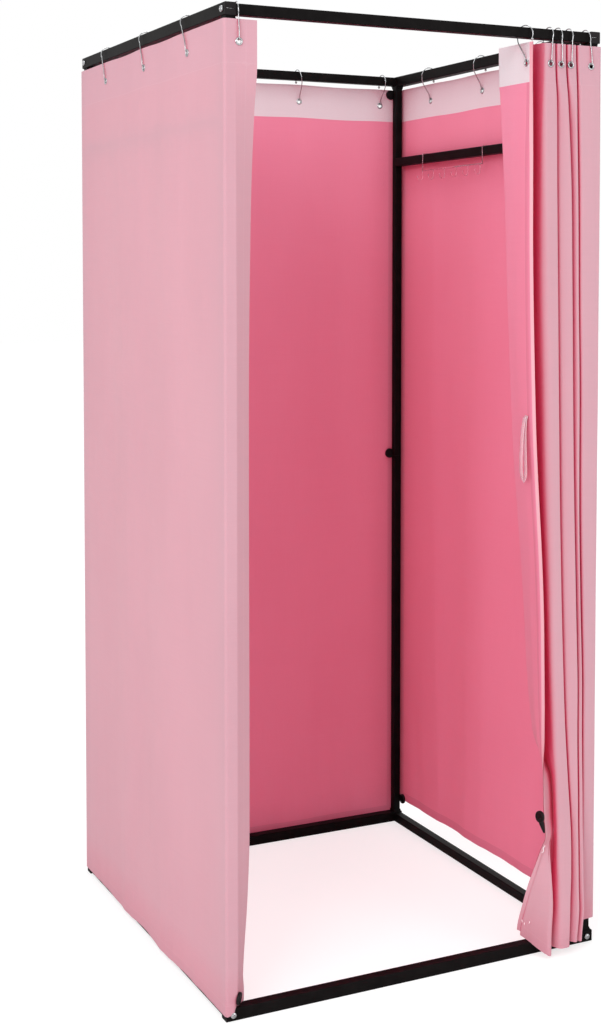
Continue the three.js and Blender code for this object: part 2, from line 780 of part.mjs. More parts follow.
// One strip of the gathered cloth, from one division to the next; strip 0 starts at the free edge.
function gatheredStrip(index) {
  const pleats = index === 0 ? [] : [foldStops[index] - 2, foldStops[index] - 1];
  const start = index === 0 ? legColumns(0, [0, edgeShare]) : halfFold(index - 1, true);
  const middle = pleats.flatMap((stop) => arcColumns(stop, pleatShares));
  const columns = [...start, ...middle, ...halfFold(index, false)];
  const body = sheet({ columns, rowsAt: () => gatherRows, beltAt: secondBelt });
  const eyelet =
    index === 0
      ? { axis: "x", at: [gatherEyelets[0], -clothY + leadingEyeletInset, eyeletZ] }
      : { axis: "y", at: [gatherEyelets[index], -clothY, eyeletZ] };
  return withEyelets(body, [eyelet]);
}

function secondCurtain() {
  const lastPleat = foldStops.at(-1) + 1;
  const wallLeg = lastPleat + 1;
  const cornerY = clothY - clothCorner;
  const columns = [
    ...halfFold(foldStops.length - 1, true),
    ...arcColumns(lastPleat, pleatShares),
    ...arcColumns(lastPleat + 1, cornerShares),
    ...legColumns(wallLeg, [...wallShares(-cornerY, outerY - edgeInset, rightEyelets), 1]),
  ];
  const rowsAt = () => rowsFrom(rightHem, gatherRowShares);
  const bulge = (x, y, z) => (x > clothX - clothCorner && y > -cornerY ? wave(y, rightEyelets, z) : 0);
  const eyelets = [
    { axis: "y", at: [gatherEyelets.at(-1), -clothY, eyeletZ] },
    ...rightEyelets.map((place) => ({ axis: "x", at: [clothX, place, eyeletZ] })),
  ];
  return withEyelets(sheet({ columns, rowsAt, beltAt: secondBelt, bulge }), eyelets);
}

// Materials

function material(color, roughness, metalness) {
  return new THREE.MeshStandardMaterial({ color, roughness, metalness });
}

const blackPaint = material(0x191616, 0.45, 0.2);
const bareSteel = material(0xb9bbbd, 0.3, 0.9);
const blackPlastic = material(0x1c1b1c, 0.5, 0);
const pinkCloth = material(0xe2acba, 0.9, 0);
const clearPlastic = material(0xe9dde0, 0.25, 0);

// The assembly

const fittingRoom = new THREE.Group();

function add(group, name, body, look, at = [0, 0, 0]) {
  const mesh = new THREE.Mesh(geometryOf(body), look);
  mesh.name = name;
  mesh.position.set(...at);
  group.add(mesh);
  return mesh;
}

// A group for each side, turned so that its -Y points out of the frame
const turns = { front: 0, right: 1, back: 2, left: 3 };
const sides = Object.fromEntries(
  Object.entries(turns).map(([name, turn]) => {
    const group = new THREE.Group();
    group.rotation.z = (turn * Math.PI) / 2;
    fittingRoom.add(group);
    return [name, group];
  }),
);

const sideRailTube = frameDepth - 2 * (plugFlange + seatGap);
const plugX = sideRailTube / 2 + seatGap;
for (const name of ["left", "right"]) {
  const side = sides[name];
  const railY = -(outerX - longTube / 2);
  const topRail = longRail(sideRailTube, frameDepth, false, false);
  add(side, `rail_top_${name}`, topRail, blackPaint, [0, railY, railTopZ]);
  for (const end of [-1, 1]) {
    const where = (name === "right") === (end > 0) ? "back" : "front";
    const plugAt = [end * plugX, railY, railTopZ];
    const plug = add(side, `plug_${name}_${where}`, railPlug(), blackPlastic, plugAt);
    if (end < 0) plug.rotation.z = Math.PI;
    const boltAt = [end * postY, -(outerX + seatGap), railTopZ];
    add(side, `bolt_top_${where}_${name}`, bolt(), bareSteel, boltAt);
  }
  const shortLength = frameDepth - 2 * (longTube + seatGap);
  add(side, `rail_bottom_${name}`, shortRail(shortLength), blackPaint, [0, -postX, railBottomZ]);
  const barLength = 2 * (postY - postTube / 2 - seatGap);
  add(side, `clothes_bar_${name}`, clothesBar(barLength), blackPaint, [0, -postX, barHeight]);
}

for (const name of ["front", "back"]) {
  const side = sides[name];
  const railY = -(outerY - longTube / 2);
  const bottomRail = longRail(frameWidth, frameWidth, true, true);
  add(side, `rail_bottom_${name}`, bottomRail, blackPaint, [0, railY, railBottomZ]);
  const shortLength = frameWidth - 2 * (longTube + seatGap);
  add(side, `rail_top_${name}`, shortRail(shortLength), blackPaint, [0, -postY, railTopZ]);
  for (const end of [-1, 1]) {
    const where = (name === "front") === (end > 0) ? "right" : "left";
    const boltAt = [end * postX, -(outerY + seatGap), railBottomZ];
    add(side, `bolt_bottom_${name}_${where}`, bolt(), bareSteel, boltAt);
  }
}

for (const [depth, toMiddle] of [["front", 1], ["back", -1]]) {
  for (const [width, toRight] of [["left", -1], ["right", 1]]) {
    const at = [toRight * postX, -toMiddle * postY, 0];
    add(fittingRoom, `post_${depth}_${width}_lower`, lowerPost(), blackPaint, at);
    add(fittingRoom, `post_${depth}_${width}_upper`, upperPost(toMiddle), blackPaint, at);
  }
}

// Hooks on the side rails hang from long tubes, and those on the front and back from short ones
const longRailHook = { railSide: longTube, clothReach: longTube / 2 + clothOff };
const shortRailHook = { railSide: shortTube, clothReach: cornerInset + clothOff };

function addHook(side, name, railY, ring, eyelet, settings) {
  add(sides[side], name, hook({ ...settings, shift: eyelet - ring }), bareSteel, [ring, railY, railTopZ]);
}

function addWallHooks(side, ringShares, eyelets, length, railY, settings) {
  placesOf(ringShares, length).forEach((ring, i) => {
    addHook(side, `hook_${side}_${i + 1}`, railY, ring, eyelets[i], settings);
  });
}

const longRailX = -(outerX - longTube / 2);
addWallHooks("left", leftRingShares, leftEyelets, frameDepth, longRailX, { ...longRailHook, shank: 1 });
addWallHooks("right", rightRingShares, rightEyelets, frameDepth, longRailX, { ...longRailHook, shank: -1 });
addWallHooks("back", backRingShares, backEyelets, frameWidth, -postY, { ...shortRailHook, shank: -1 });
addHook("front", "hook_corner", -postY, -outerX + cornerRing, -outerX + cornerEyelet, {
  ...shortRailHook,
  shank: 1,
  splay: cornerSplay,
});
const leadingHook = {
  railSide: shortTube,
  clothReach: cornerInset + clothOff - leadingEyeletInset,
  shank: -1,
  splay: leadingSplay,
  across: true,
};
placesOf(gatherRingShares, gatherWidth).forEach((place, i) => {
  const settings = i === 0 ? leadingHook : { ...shortRailHook, shank: 1 };
  addHook("front", `hook_front_${i + 1}`, -postY, outerX - place, gatherEyelets[i], settings);
});

add(fittingRoom, "curtain_left_back", firstCurtain(), pinkCloth);
add(fittingRoom, "curtain_right", secondCurtain(), pinkCloth);
foldStops.forEach((_, i) => add(fittingRoom, `curtain_front_${i + 1}`, gatheredStrip(i), pinkCloth));

// Magnets hold the curtains against the steel posts
const magnetY = postY + postTube / 2 + seatGap + magnetThickness / 2;
const magnetX = postX + postTube / 2 + seatGap + magnetThickness / 2;
for (const [name, height] of [["top", frameHeight - magnetTopDrop], ["middle", magnetMiddleHeight]]) {
  const at = [outerX - magnetInset, magnetY, height];
  const disc = add(fittingRoom, `magnet_back_${name}`, magnet(), blackPlastic, at);
  disc.rotation.x = Math.PI / 2;
}
const rightDisc = add(fittingRoom, "magnet_right_bottom", magnet(), blackPlastic, [
  magnetX,
  outerY - magnetRightInset,
  magnetRightHeight,
]);
rightDisc.rotation.y = Math.PI / 2;

function addClothMagnet(name, { at, normal }) {
  const disc = add(fittingRoom, name, magnet(), blackPlastic, at.toArray());
  disc.quaternion.setFromUnitVectors(new THREE.Vector3(0, 0, 1), normal);
}
const wrapSeat = seatOn(firstBelt, wrapRows, 3, magnetWrapShare, magnetWrapHeight, 1);
const leadingSeat = seatOn(secondBelt, gatherRows, 0, magnetLeadingShare, magnetLeadingHeight, -1);
addClothMagnet("magnet_front_left", wrapSeat);
addClothMagnet("magnet_leading_edge", leadingSeat);

add(sides.right, "hook_rack", hookRack(), clearPlastic, [rackMiddle, -postX, barHeight]);

export default fittingRoom;
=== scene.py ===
import math
from functools import partial

import bpy
import numpy as np
from mathutils import Matrix, Vector, noise


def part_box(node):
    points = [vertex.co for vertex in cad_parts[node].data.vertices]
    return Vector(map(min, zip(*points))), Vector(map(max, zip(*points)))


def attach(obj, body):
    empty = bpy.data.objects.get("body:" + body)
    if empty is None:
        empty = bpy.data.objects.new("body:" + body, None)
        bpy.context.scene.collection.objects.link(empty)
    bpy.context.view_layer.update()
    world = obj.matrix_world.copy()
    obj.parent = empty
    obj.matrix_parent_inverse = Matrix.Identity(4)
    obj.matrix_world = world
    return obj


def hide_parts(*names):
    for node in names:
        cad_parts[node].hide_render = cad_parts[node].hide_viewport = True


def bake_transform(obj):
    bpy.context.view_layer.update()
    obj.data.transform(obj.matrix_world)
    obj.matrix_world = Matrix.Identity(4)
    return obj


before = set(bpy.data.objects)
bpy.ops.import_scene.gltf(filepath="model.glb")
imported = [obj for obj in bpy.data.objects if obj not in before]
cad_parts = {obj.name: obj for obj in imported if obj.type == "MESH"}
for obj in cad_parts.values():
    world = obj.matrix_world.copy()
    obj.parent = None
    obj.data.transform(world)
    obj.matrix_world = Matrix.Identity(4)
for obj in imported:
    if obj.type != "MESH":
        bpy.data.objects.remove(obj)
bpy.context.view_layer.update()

# Metres, in the frame of the model: +Z up, the doorway towards -Y.

# Sizes of the frame, the outer ones read from its rails
OUTER_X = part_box("rail_bottom_front")[1].x
OUTER_Y = -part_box("rail_bottom_front")[0].y
TOP_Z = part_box("rail_top_left")[1].z
LONG_TUBE = 0.025
SHORT_TUBE = 0.022
RAIL_INSET = 0.014
RAIL_Z = TOP_Z - LONG_TUBE / 2
SEAT_GAP = 0.0003

# Curtains
CLOTH_OFF = 0.0025
CLOTH_X = OUTER_X + CLOTH_OFF
CLOTH_Y = OUTER_Y + CLOTH_OFF
CLOTH_CORNER = 0.0055
CLOTH_THICK = 0.0009
BAND_THICK = 0.0006
HEM_WIDTH = 0.022
CURTAIN_TOP = TOP_Z - 0.032
BAND_BOTTOM = CURTAIN_TOP - 0.084
EYELET_Z = CURTAIN_TOP - 0.043
EDGE_INSET = 0.008
LEFT_HEM = 0.012
BACK_HEM = 0.012
RIGHT_HEM = 0.055
WRAP_WIDTH = 0.047
WAVE_DEPTH = 0.0044
TOP_DIP = 0.0018  # of the top edge between two hooks
MOST_INWARD = -0.0008  # of a wall, which bears on the frame
BEARING_WIDTH = 0.09  # beside a corner, where the wall comes back to the frame

# Folds: how many a metre along the cloth's run and its height, and how deep
LONG_FOLDS, LONG_DEPTH = (9, 0.55), 0.0042
SMALL_FOLDS, SMALL_DEPTH = (26, 2.2), 0.0012
PANEL_FOLDS, PANEL_DEPTH = (16, 1.3), 0.004
CRINKLES, CRINKLE_DEPTH = (40, 4.5), 0.0011

# The cloth's threads, seams and tape
THREAD_PITCH = 0.0011
STITCH_PITCH = 0.0032
TAPE_HALF = 0.0062
TAPE_THICK = 0.0002
TAPE_RIB = 0.0012
TAPE_Z = 1.172
TAPE_OFF = 0.002  # from the cloth

# Rows and columns of the cloth's points
WALL_COLUMNS = 110
FIRST_ROWS = 150
SECOND_ROWS = 170
BAND_ROWS = 8

# Eyelets, hooks and magnets
EYELET_HOLE = 0.009
EYELET_RING = 0.016
EYELET_LIP = 0.0011
HOLE_HALF = 0.005
WIRE = 0.0024
HOOK_BALL = 0.0064
HOOK_LOOP = 0.0192
HOOK_BALL_LEG = 0.006
HOOK_CURL = 0.0042
HOOK_TIP = 0.003
LOOP_OPEN = math.radians(24)
LOOP_SHANK = math.radians(20)
MAGNET_RADIUS = 0.0125
MAGNET_THICK = 0.0056
MAGNET_GAP = 0.0005  # to the cloth
MAGNET_PLACE = Vector((0.2945, -0.447, 0.304))  # of the one on the free edge
WRAP_MAGNET_Z = 0.047

# Places along each side from its middle to the right, seen from outside, as shares of its length
LEFT_RING_SHARES = [-0.322, -0.03, 0.248]
LEFT_EYELET_SHARES = [-0.291, -0.001, 0.288]
BACK_RING_SHARES = [-0.43, -0.147, 0.147, 0.425]
BACK_EYELET_SHARES = [-0.433, -0.163, 0.135, 0.415]
RIGHT_RING_SHARES = [-0.268, 0.017, 0.298]
RIGHT_EYELET_SHARES = [-0.247, 0.038, 0.317]
CORNER_RING = -OUTER_X + 0.0305
CORNER_EYELET = -OUTER_X + 0.029
CORNER_SPLAY = 0.004
LEADING_SPLAY = 0.007
LEADING_INSET = 0.0125
GATHER_WIDTH = 0.182
GATHER_RING_SHARES = [1.011, 0.676, 0.555, 0.401, 0.165]
GATHER_EYELET_SHARES = [1, 0.714, 0.588, 0.456, 0.137]
GATHER_SHIFT = [0, 0.0005, 0.0045, 0.0055, 0]
FOLD_BODIES = ["second_fold", "third_fold", "fourth_fold", "frame"]
GATHER_BODIES = ["leading_edge", *FOLD_BODIES]

# The camera that took the photograph, in pixels of its 601 by 1024 frame
IMAGE_HEIGHT_PX = 1024
FOCAL_PX = 1560
AXIS_ROW_PX = 351.9
CAMERA_PLACE = (-1.620, -3.218, 1.474)
CAMERA_YAW = math.radians(25.78)
CAMERA_PITCH = math.radians(-2.78)
SENSOR_MM = 36


def make_camera():
    data = bpy.data.cameras.new("camera")
    camera = bpy.data.objects.new("camera", data)
    bpy.context.scene.collection.objects.link(camera)
    bpy.context.scene.camera = camera
    data.sensor_width = SENSOR_MM
    data.lens = SENSOR_MM * FOCAL_PX / IMAGE_HEIGHT_PX
    data.shift_y = -(IMAGE_HEIGHT_PX / 2 - AXIS_ROW_PX) / IMAGE_HEIGHT_PX
    data.clip_end = 100
    forward = Vector((
        math.sin(CAMERA_YAW) * math.cos(CAMERA_PITCH),
        math.cos(CAMERA_YAW) * math.cos(CAMERA_PITCH),
        math.sin(CAMERA_PITCH),
    ))
    right = forward.cross(Vector((0, 0, 1))).normalized()
    up = right.cross(forward)
    turn = Matrix((right, up, -forward)).transposed().to_4x4()
    camera.matrix_world = Matrix.Translation(CAMERA_PLACE) @ turn


make_camera()


# Materials

def linear(r, g, b):
    """A colour given as 0 to 255 in sRGB, as Blender's linear RGBA."""
    def channel(value):
        value /= 255
        return value / 12.92 if value <= 0.04045 else ((value + 0.055) / 1.055) ** 2.4
    return (channel(r), channel(g), channel(b), 1)


def grey(value):
    return (value, value, value, 1)


class Nodes:
    """Short ways to add nodes to a new material, or to the world where one is given."""

    def __init__(self, name, world=None):
        self.owner = world or bpy.data.materials.new(name)
        self.owner.use_nodes = True
        self.tree = self.owner.node_tree
        self.shader = self.tree.nodes["Background" if world else "Principled BSDF"]
        self.output = self.tree.nodes["World Output" if world else "Material Output"]

    def add(self, kind, inputs=None, **settings):
        node = self.tree.nodes.new(kind)
        for key, value in settings.items():
            setattr(node, key, value)
        for key, value in (inputs or {}).items():
            self.feed(node.inputs[key], value)
        return node

    def feed(self, socket, value):
        if isinstance(value, bpy.types.NodeSocket):
            self.tree.links.new(value, socket)
        else:
            socket.default_value = value

    def math(self, operation, a, b=0.0, clamp=False):
        return self.add("ShaderNodeMath", {0: a, 1: b}, operation=operation, use_clamp=clamp).outputs[0]

    def plus(self, a, b):
        return self.math("ADD", a, b)

    def times(self, a, b):
        return self.math("MULTIPLY", a, b)

    def wave(self, value, pitch):
        return self.math("SINE", self.times(value, 2 * math.pi / pitch))

    def ramp(self, value, low, high, to_low=0.0, to_high=1.0):
        inputs = {"Value": value, "From Min": low, "From Max": high, "To Min": to_low, "To Max": to_high}
        return self.add("ShaderNodeMapRange", inputs, interpolation_type="SMOOTHSTEP").outputs[0]

    def place(self):
        return self.add("ShaderNodeTexCoord").outputs["Object"]

    def flat_place(self):
        """The place on the flat cloth, whole and as its two parts."""
        uv = self.add("ShaderNodeUVMap", uv_map="cloth").outputs[0]
        split = self.add("ShaderNodeSeparateXYZ", {0: uv}).outputs
        return uv, split[0], split[1]

    def noise(self, vector, scale, detail, roughness=0.5):
        inputs = {"Vector": vector, "Scale": scale, "Detail": detail, "Roughness": roughness}
        return self.add("ShaderNodeTexNoise", inputs).outputs["Fac"]

    def mix(self, factor, a, b, blend="MIX"):
        node = self.add("ShaderNodeMix", data_type="RGBA", blend_type=blend)
        for key, value in {"Factor": factor, "A": a, "B": b}.items():
            self.feed(node.inputs[key], value)
        return node.outputs["Result"]

    def bump(self, height, distance, strength, normal=None):
        inputs = {"Height": height, "Distance": distance, "Strength": strength}
        if normal is not None:
            inputs["Normal"] = normal
        return self.add("ShaderNodeBump", inputs).outputs[0]

    def set(self, **values):
        for key, value in values.items():
            self.feed(self.shader.inputs[key.replace("_", " ")], value)

    def show(self, factor, a, b):
        """Sends a mix of two shader nodes to the output."""
        mixed = self.add("ShaderNodeMixShader", {0: factor, 1: a.outputs[0], 2: b.outputs[0]})
        self.feed(self.output.inputs["Surface"], mixed.outputs[0])


def cloth_material(name, colour, deep, fold):
    """Woven polyester. deep is the colour of the gaps between threads, and fold what the colour is
    multiplied by as painted shade where ambient occlusion finds a narrow fold or corner."""
    n = Nodes(name)
    uv, across, up = n.flat_place()

    def streaks(scale_across, scale_up, detail=3):
        inputs = {"Vector": uv, "Scale": (scale_across, scale_up, 1)}
        return n.noise(n.add("ShaderNodeMapping", inputs).outputs[0], 1, detail)

    weave = n.times(n.wave(across, THREAD_PITCH), n.wave(up, THREAD_PITCH))
    slub = n.times(n.plus(streaks(900, 9), streaks(7, 700)), 0.5)
    cloud = streaks(5, 2.2, 2)
    tone = n.plus(n.ramp(slub, 0.3, 0.7, -0.10, 0.10), n.ramp(cloud, 0.3, 0.7, -0.08, 0.08))
    tone = n.plus(tone, n.times(weave, 0.05))
    base = n.mix(n.math("ADD", tone, 0.2, clamp=True), colour, deep)
    hem = n.add("ShaderNodeAttribute", attribute_name="hem").outputs["Fac"]
    seam = n.math("SUBTRACT", 1.0, n.ramp(n.math("ABSOLUTE", hem), 0.0004, 0.0011))
    dash = n.wave(n.plus(across, up), STITCH_PITCH)
    stitch = n.times(seam, n.ramp(dash, -0.2, 0.3))
    base = n.mix(n.times(stitch, 0.14), base, (1, 0.9, 0.93, 1))
    # Painted shade: the colour darkens towards the fold tint where ambient occlusion finds folds, creases
    # and corners
    open_sky = n.add("ShaderNodeAmbientOcclusion", {"Distance": 0.11}, samples=4).outputs["AO"]
    painted_fold_shade = n.math("SUBTRACT", 1.0, n.ramp(open_sky, 0.25, 0.95))
    painted_fold_shade = n.times(painted_fold_shade, n.ramp(up, 0.0, 0.12, 0.3, 1.0))  # no painted fold shade near the floor
    base = n.mix(painted_fold_shade, base, n.mix(1.0, base, fold, "MULTIPLY"))
    normal = n.bump(n.plus(n.times(weave, 0.10), n.times(slub, 0.35)), 0.0003, 0.5)
    relief = n.plus(n.times(streaks(60, 25), 0.6), n.times(stitch, 0.5))
    normal = n.bump(relief, 0.0008, 0.35, normal)
    n.set(Base_Color=base, Normal=normal)
    n.set(Roughness=0.82, Specular_IOR_Level=0.28, Sheen_Weight=0.18, Sheen_Roughness=0.5)
    n.show(GLOW, n.shader, n.add("ShaderNodeBsdfTranslucent", {"Color": base, "Normal": normal}))
    return n.owner


def tape_material():
    """Sheer ribbon with woven white edges."""
    n = Nodes("sheer_white_ribbon")
    _, across, along = n.flat_place()
    rib = n.wave(along, TAPE_RIB)
    base = n.mix(n.ramp(rib, -1, 1), linear(232, 206, 214), linear(246, 228, 233))
    n.set(Base_Color=base, Normal=n.bump(rib, 0.0002, 0.3))
    n.set(Roughness=0.6, Specular_IOR_Level=0.25, Sheen_Weight=0.1)
    woven = n.ramp(n.math("ABSOLUTE", across), TAPE_HALF - 0.0018, TAPE_HALF - 0.0010)
    solid = n.ramp(woven, 0, 1, 0.30, 0.85)
    n.show(solid, n.add("ShaderNodeBsdfTransparent"), n.shader)
    return n.owner


def coat(name, spots, spread, colours, reliefs, rough, **fixed):
    """A smooth material. spots holds the scale and detail of the noise between its colours, and spread the
    noise's ends. Each relief holds the same of a bump with its depth and strength, and the last one's
    noise also varies the roughness."""
    n = Nodes(name)
    place = n.place()
    base = n.mix(n.ramp(n.noise(place, *spots), *spread), *colours)
    normal = None
    for scale, detail, depth, strength in reliefs:
        grain = n.noise(place, scale, detail)
        normal = n.bump(grain, depth, strength, normal)
    n.set(Base_Color=base, Roughness=n.ramp(grain, 0.3, 0.7, *rough), Normal=normal, **fixed)
    return n.owner


GLOW = 0.33  # the share of the light that passes through the cloth
# Painted shade: the tints by which folds, creases and corners darken the cloth's colour
OUTER_FOLD_SHADE = (1.12, 0.10, 0.30, 1)
INNER_FOLD_SHADE = (0.80, 0.42, 0.50, 1)
OUTSIDE, INSIDE, BAND, HEM, EDGE_HIGHLIGHT = range(5)
CLOTH_MATERIALS = [
    cloth_material("cloth_outside", linear(222, 178, 190), linear(210, 160, 174), OUTER_FOLD_SHADE),
    cloth_material("cloth_inside", linear(251, 163, 192), linear(244, 144, 175), INNER_FOLD_SHADE),
    cloth_material("cloth_band", linear(242, 246, 250), linear(232, 233, 238), INNER_FOLD_SHADE),
    cloth_material("cloth_hem", linear(240, 153, 181), linear(230, 133, 162), INNER_FOLD_SHADE),
    # The outer cloth turned round the free edge, lighter than the outside as a painted highlight where that
    # edge catches the light
    cloth_material("cloth_edge_painted_highlight", linear(247, 200, 211), linear(238, 186, 198), OUTER_FOLD_SHADE),
]
PAINT = coat(
    "black_powder_coat", (34, 4, 0.65), (0.35, 0.75),
    ((0.0030, 0.0022, 0.0022, 1), (0.0055, 0.0044, 0.0044, 1)),
    [(420, 2, 0.0002, 0.22), (2600, 2, 0.00006, 0.4)], (0.42, 0.54), Specular_IOR_Level=0.06,
)
STEEL = coat(
    "bright_zinc_steel", (90, 2), (0.35, 0.7), ((0.34, 0.345, 0.355, 1), (0.50, 0.50, 0.51, 1)),
    [(600, 3, 0.00005, 0.3)], (0.14, 0.3), Metallic=1.0,
), "bright_steel"
PLASTIC = coat(
    "matt_black_plastic", (60, 3), (0.35, 0.7), ((0.005, 0.0035, 0.004, 1), (0.009, 0.006, 0.007, 1)),
    [(1800, 2, 0.00008, 0.4)], (0.42, 0.58), Specular_IOR_Level=0.16,
), "black_plastic"
# Its pink is a painted reflection of the pink cloth round the rack
CLEAR_WITH_PAINTED_PINK = coat(
    "clear_wire_painted_pink_reflection", (240, 2), (0.3, 0.7), (linear(244, 190, 204), linear(250, 214, 224)),
    [(240, 2, 0.0001, 0.3)], (0.08, 0.2), IOR=1.38, Transmission_Weight=0.8,
), "clear_plastic"
TAPE = tape_material(), "curtain_cloth"
COTTON = coat(
    "white_cotton_thread", (3000, 2), (0.3, 0.7), (linear(246, 230, 235), linear(253, 247, 249)),
    [(3000, 2, 0.0001, 0.5)], (0.7, 0.9),
), "curtain_cloth"


# Meshes

def new_object(name, points, faces, materials, face_materials=None):
    mesh = bpy.data.meshes.new(name)
    mesh.from_pydata([tuple(p) for p in points], [], [tuple(f) for f in faces])
    for material in materials:
        mesh.materials.append(material)
    if face_materials is not None:
        mesh.polygons.foreach_set("material_index", np.asarray(face_materials, np.int32))
    mesh.polygons.foreach_set("use_smooth", [True] * len(mesh.polygons))
    mesh.update()
    piece = bpy.data.objects.new(name, mesh)
    bpy.context.scene.collection.objects.link(piece)
    return piece


def set_flat_places(mesh, places):
    """Gives each point its place on the flat cloth."""
    loops = np.zeros(len(mesh.loops), np.int32)
    mesh.loops.foreach_get("vertex_index", loops)
    layer = mesh.uv_layers.new(name="cloth")
    layer.data.foreach_set("uv", np.array(places, np.float32)[loops].ravel())


def add_piece(name, shape, finish, body, *nodes):
    """A small piece from its points and faces, in the material of finish; the slot that finish also holds
    is not used. It may replace nodes of the frame."""
    material, slot = finish
    piece = new_object(name, *shape, [material])
    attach(piece, body)
    if nodes:
        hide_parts(*nodes)
    return piece


def circle(sides):
    turns = [2 * math.pi * k / sides for k in range(sides)]
    return [(math.cos(turn), math.sin(turn)) for turn in turns]


def skin(rings, sides):
    """Faces of a closed form whose rings of points follow one another."""
    faces = []
    for start in range(0, (rings - 1) * sides, sides):
        for k in range(sides):
            a, b = start + k, start + (k + 1) % sides
            faces.append((a, b, b + sides, a + sides))
    faces.append(tuple(reversed(range(sides))))
    faces.append(tuple(range((rings - 1) * sides, rings * sides)))
    return faces


def directions(path):
    """The way that a path goes at each of its points."""
    last = len(path) - 1
    return [(path[min(i + 1, last)] - path[max(i - 1, 0)]).normalized() for i in range(last + 1)]


def tube(path, radius, sides=12):
    """A round bar that follows a path, closed at both ends."""
    path = [Vector(p) for p in path]
    ahead = directions(path)
    side = ahead[0].orthogonal().normalized()
    points = []
    for place, direction in zip(path, ahead):
        side = (side - direction * side.dot(direction)).normalized()
        other = direction.cross(side)
        points += [place + radius * (cos * side + sin * other) for cos, sin in circle(sides)]
    return points, skin(len(path), sides)


def lathe(profile, sides, centre, axis, closed=False):
    """A turned solid. profile holds (radius, height) from one end on the axis to the other, or round a
    closed loop clear of the axis."""
    turn = Vector((0, 0, 1)).rotation_difference(Vector(axis))
    points, faces, rings = [], [], []
    for radius, height in profile:
        round_it = circle(sides) if radius else [(0, 0)]
        rings.append(list(range(len(points), len(points) + len(round_it))))
        points += [Vector((radius * cos, radius * sin, height)) for cos, sin in round_it]
    for low, high in zip(rings, rings[1:] + rings[:1] if closed else rings[1:]):
        for k in range(sides):
            a, b = low[k % len(low)], low[(k + 1) % len(low)]
            c, d = high[(k + 1) % len(high)], high[k % len(high)]
            faces.append(tuple(dict.fromkeys((a, b, c, d))))
    return [Vector(centre) + turn @ p for p in points], faces


def sphere(centre, radius, sides=16, rings=8):
    turns = [math.pi * k / rings for k in range(rings + 1)]
    profile = [(radius * math.sin(turn), -radius * math.cos(turn)) for turn in turns]
    profile[0], profile[-1] = (0, -radius), (0, radius)
    return lathe(profile, sides, centre, (0, 0, 1))


def joined(parts):
    points, faces = [], []
    for more_points, more_faces in parts:
        faces += [tuple(i + len(points) for i in face) for face in more_faces]
        points += list(more_points)
    return points, faces


# Curves through values

def smoothstep(x, low, high):
    t = np.clip((x - low) / (high - low), 0, 1)
    return t * t * (3 - 2 * t)


def profile_of(*pairs):
    """A smooth curve through (height, value) pairs that doesn't overshoot them; flat beyond its ends."""
    x, y = (np.array(values) for values in zip(*sorted(pairs)))
    step = np.diff(x)
    slope = np.diff(y) / step
    tangent = np.zeros(len(x))
    for i in range(1, len(x) - 1):
        if slope[i - 1] * slope[i] > 0:
            a, b = 2 * step[i] + step[i - 1], step[i] + 2 * step[i - 1]
            tangent[i] = (a + b) / (a / slope[i - 1] + b / slope[i])

    def value(z):
        z = min(max(z, x[0]), x[-1])
        i = min(int(np.searchsorted(x, z, "right")) - 1, len(x) - 2)
        h = step[i]
        t = (z - x[i]) / h
        rise = (1 - t) * (1 - t) * ((1 + 2 * t) * y[i] + t * h * tangent[i])
        return rise + t * t * ((3 - 2 * t) * y[i + 1] - (1 - t) * h * tangent[i + 1])

    return value


def curves(*rows):
    """A smooth curve for each number of a row after the first, which is the height, in millimetres."""
    heights, *columns = ([value / 1000 for value in column] for column in zip(*rows))
    return [profile_of(*zip(heights, column)) for column in columns]


# A path round circles like a belt, seen from above. A stop is (x, y, signed radius): the radius is positive
# where the path bends to the left round its circle and negative to the right, and 0 at corners and ends.

def belt(stops):
    headings = []
    for (x0, y0, r0), (x1, y1, r1) in zip(stops, stops[1:]):
        apart = math.hypot(x1 - x0, y1 - y0)
        headings.append(math.atan2(y1 - y0, x1 - x0) - math.asin(max(-1, min(1, (r1 - r0) / apart))))

    def touch(i, heading):
        x, y, r = stops[i]
        return (x + r * math.sin(heading), y - r * math.cos(heading))

    def at(kind, i, share):
        if kind == "leg":
            (x0, y0), (x1, y1) = touch(i, headings[i]), touch(i + 1, headings[i])
            return (x0 + (x1 - x0) * share, y0 + (y1 - y0) * share)
        turned = headings[i] - headings[i - 1]
        sweep = math.atan2(math.sin(turned), math.cos(turned))
        return touch(i, headings[i - 1] + sweep * share)

    return at


def columns_on(kind, i, count, first=0.0, last=1.0):
    """Columns along a leg or an arc of the path, without the one at its end."""
    return [(kind, i, first + (last - first) * k / count) for k in range(count)]


leg = partial(columns_on, "leg")
arc = partial(columns_on, "arc")


